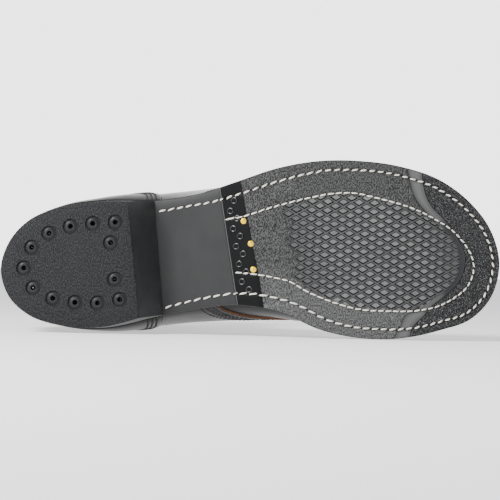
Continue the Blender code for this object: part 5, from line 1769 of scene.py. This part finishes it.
def build_outsole():
    """The sole leather, with its edge rounded above and below."""
    radius = OUTSOLE_EDGE_RADIUS
    corner = ((radius, 0.0), (0.3 * radius, 0.3 * radius), (0.0, radius))
    across = np.linspace(0, 1, 13)
    lines = {inwards: edges_of(inset(SOLE, inwards)) for inwards, rise in corner}
    rows = []
    for i in range(len(SOLE_EDGES["lateral"])):
        row = []
        for side, order in (("lateral", corner[::-1]), ("medial", corner)):
            for inwards, rise in order:
                x, y = lines[inwards][side][min(i, len(lines[inwards][side]) - 1)]
                row.append((x, y, underside(x) + rise))
        left, right = np.array(row[2]), np.array(row[3])
        bottom = [left + (right - left) * share for share in across[1:-1]]
        ring = row[:3] + bottom + row[3:]
        top = [(x, y, underside(x) + OUTSOLE_THICK - (z - underside(x))) for x, y, z in ring[::-1]]
        rows.append(np.array(ring + top))
    made = piece(
        "outsole_leather", np.concatenate(rows), tube_faces(len(rows), len(rows[0])),
        [shank_material(), edge_material()], stands_for=["outsole"], slot="outsole", sharp=70.0,
    )
    normals = np.array([face.normal for face in made.data.polygons])
    made.data.polygons.foreach_set("material_index", (abs(normals[:, 2]) < 0.55).astype(np.int32))


def build_welt(white):
    """The welt: a strip round the boot between upper and outsole, with a row of white stitches on top."""
    radius = WELT_EDGE_RADIUS
    inner = inset(SOLE, WELT_WIDTH + WELT_UNDER_UPPER)
    seam = inset(SOLE, WELT_WIDTH * WELT_SEAM_SHARE)
    section = (
        (inner, 0.0), (inset(SOLE, radius), 0.0), (inset(SOLE, 0.2), 0.2), (SOLE, radius),
        (SOLE, WELT_THICK - radius), (inset(SOLE, 0.2), WELT_THICK - 0.2), (inset(SOLE, radius), WELT_THICK),
        (seam, WELT_THICK - 0.1), (inner, WELT_THICK),
    )
    rows = [np.column_stack([line, welt_base(line[:, 0]) + rise]) for line, rise in section]
    points = np.stack(rows, axis=1).reshape(-1, 3)
    faces = torus_faces(len(SOLE), len(section), 0)
    piece("welt_strip", points, faces, [edge_material()], stands_for=["welt"], slot="welt", sharp=60.0)
    edges = edges_of(seam)
    plan = spaced_seam(from_x(edges, dict.fromkeys(edges, WELT_SEAM_START)), 1.0)
    line = np.column_stack([plan, welt_base(plan[:, 0]) + WELT_THICK])
    normals = np.tile((0.0, 0.0, 1.0), (len(plan), 1))
    seam_piece("welt_seam", [(line, normals, WELT_PITCH)], white, WELT_STITCH)


def build_boot():
    """Every piece of the boot, from the sole up."""
    build_outsole()
    build_half_sole()
    build_heel()
    build_nails()
    build_rings()
    white = thread_material("thread_white", THREAD_WHITE, THREAD_SOIL)
    build_sole_seams(white)
    build_welt(white)
    build_upper()
    build_tongue()
    build_eyelets()
    build_lace()
    build_insole()


def build_camera():
    """A camera square on to the tread."""
    camera = bpy.data.cameras.new("camera")
    camera.sensor_width = SENSOR_MM
    camera.lens = SENSOR_MM * CAMERA_DISTANCE / FRAME_WIDTH
    camera.clip_end = 100.0
    made = placed("camera", camera)
    look = Matrix(((1, 0, 0), (0, -1, 0), (0, 0, -1))).to_4x4()
    look.translation = Vector((*CAMERA_MIDDLE, -CAMERA_DISTANCE)) * MM
    made.matrix_world = BOOT @ look
    bpy.context.scene.camera = made


def build_floor():
    """A wide pale floor that glows faintly, as a light table does."""
    corners = [(-1, -1, 0), (1, -1, 0), (1, 1, 0), (-1, 1, 0)]
    floor = placed("floor", mesh_from("floor", np.array(corners) * FLOOR_HALF / MM, [(0, 1, 2, 3)]))
    floor.location.z = FLOOR_Z * MM
    paper = Shader("floor_paper", Roughness=0.9)
    pale = paper.mix(paper.noise(400.0), FLOOR_DARK, FLOOR_LIGHT)
    paper.give("Base Color", pale)
    paper.give("Emission Color", pale)
    paper.give("Emission Strength", FLOOR_GLOW)
    floor.data.materials.append(paper.material)


def build_light():
    """A world that is brighter behind and dimmer above, and soft light from the upper left."""
    world = bpy.data.worlds.new("studio")
    world.use_nodes = True
    nodes, links = world.node_tree.nodes, world.node_tree.links
    background = nodes["Background"]
    background.inputs["Color"].default_value = (1.0, 1.0, 1.0, 1.0)
    parts = nodes.new("ShaderNodeSeparateXYZ")
    links.new(nodes.new("ShaderNodeTexCoord").outputs["Generated"], parts.inputs[0])
    strength = nodes.new("ShaderNodeMath")
    strength.operation = "MULTIPLY"
    for slot, (axis, levels) in enumerate((("Y", WORLD_DEPTH), ("Z", WORLD_HEIGHT))):
        ramp = nodes.new("ShaderNodeMapRange")
        ramp.interpolation_type = "SMOOTHSTEP"
        for name, value in zip(("From Min", "From Max", "To Min", "To Max"), levels):
            ramp.inputs[name].default_value = value
        links.new(parts.outputs[axis], ramp.inputs["Value"])
        links.new(ramp.outputs[0], strength.inputs[slot])
    links.new(strength.outputs[0], background.inputs["Strength"])
    bpy.context.scene.world = world
    key = bpy.data.lights.new("key", "AREA")
    key.size = KEY_SIZE
    key.energy = KEY_LIGHT
    lamp = placed("key", key)
    place, aim = (BOOT @ (Vector(point) * MM) for point in (KEY_PLACE, KEY_AIM))
    lamp.matrix_world = Matrix.Translation(place) @ (place - aim).to_track_quat("Z", "Y").to_matrix().to_4x4()


build_boot()
build_camera()
build_floor()
build_light()
bpy.context.view_layer.update()
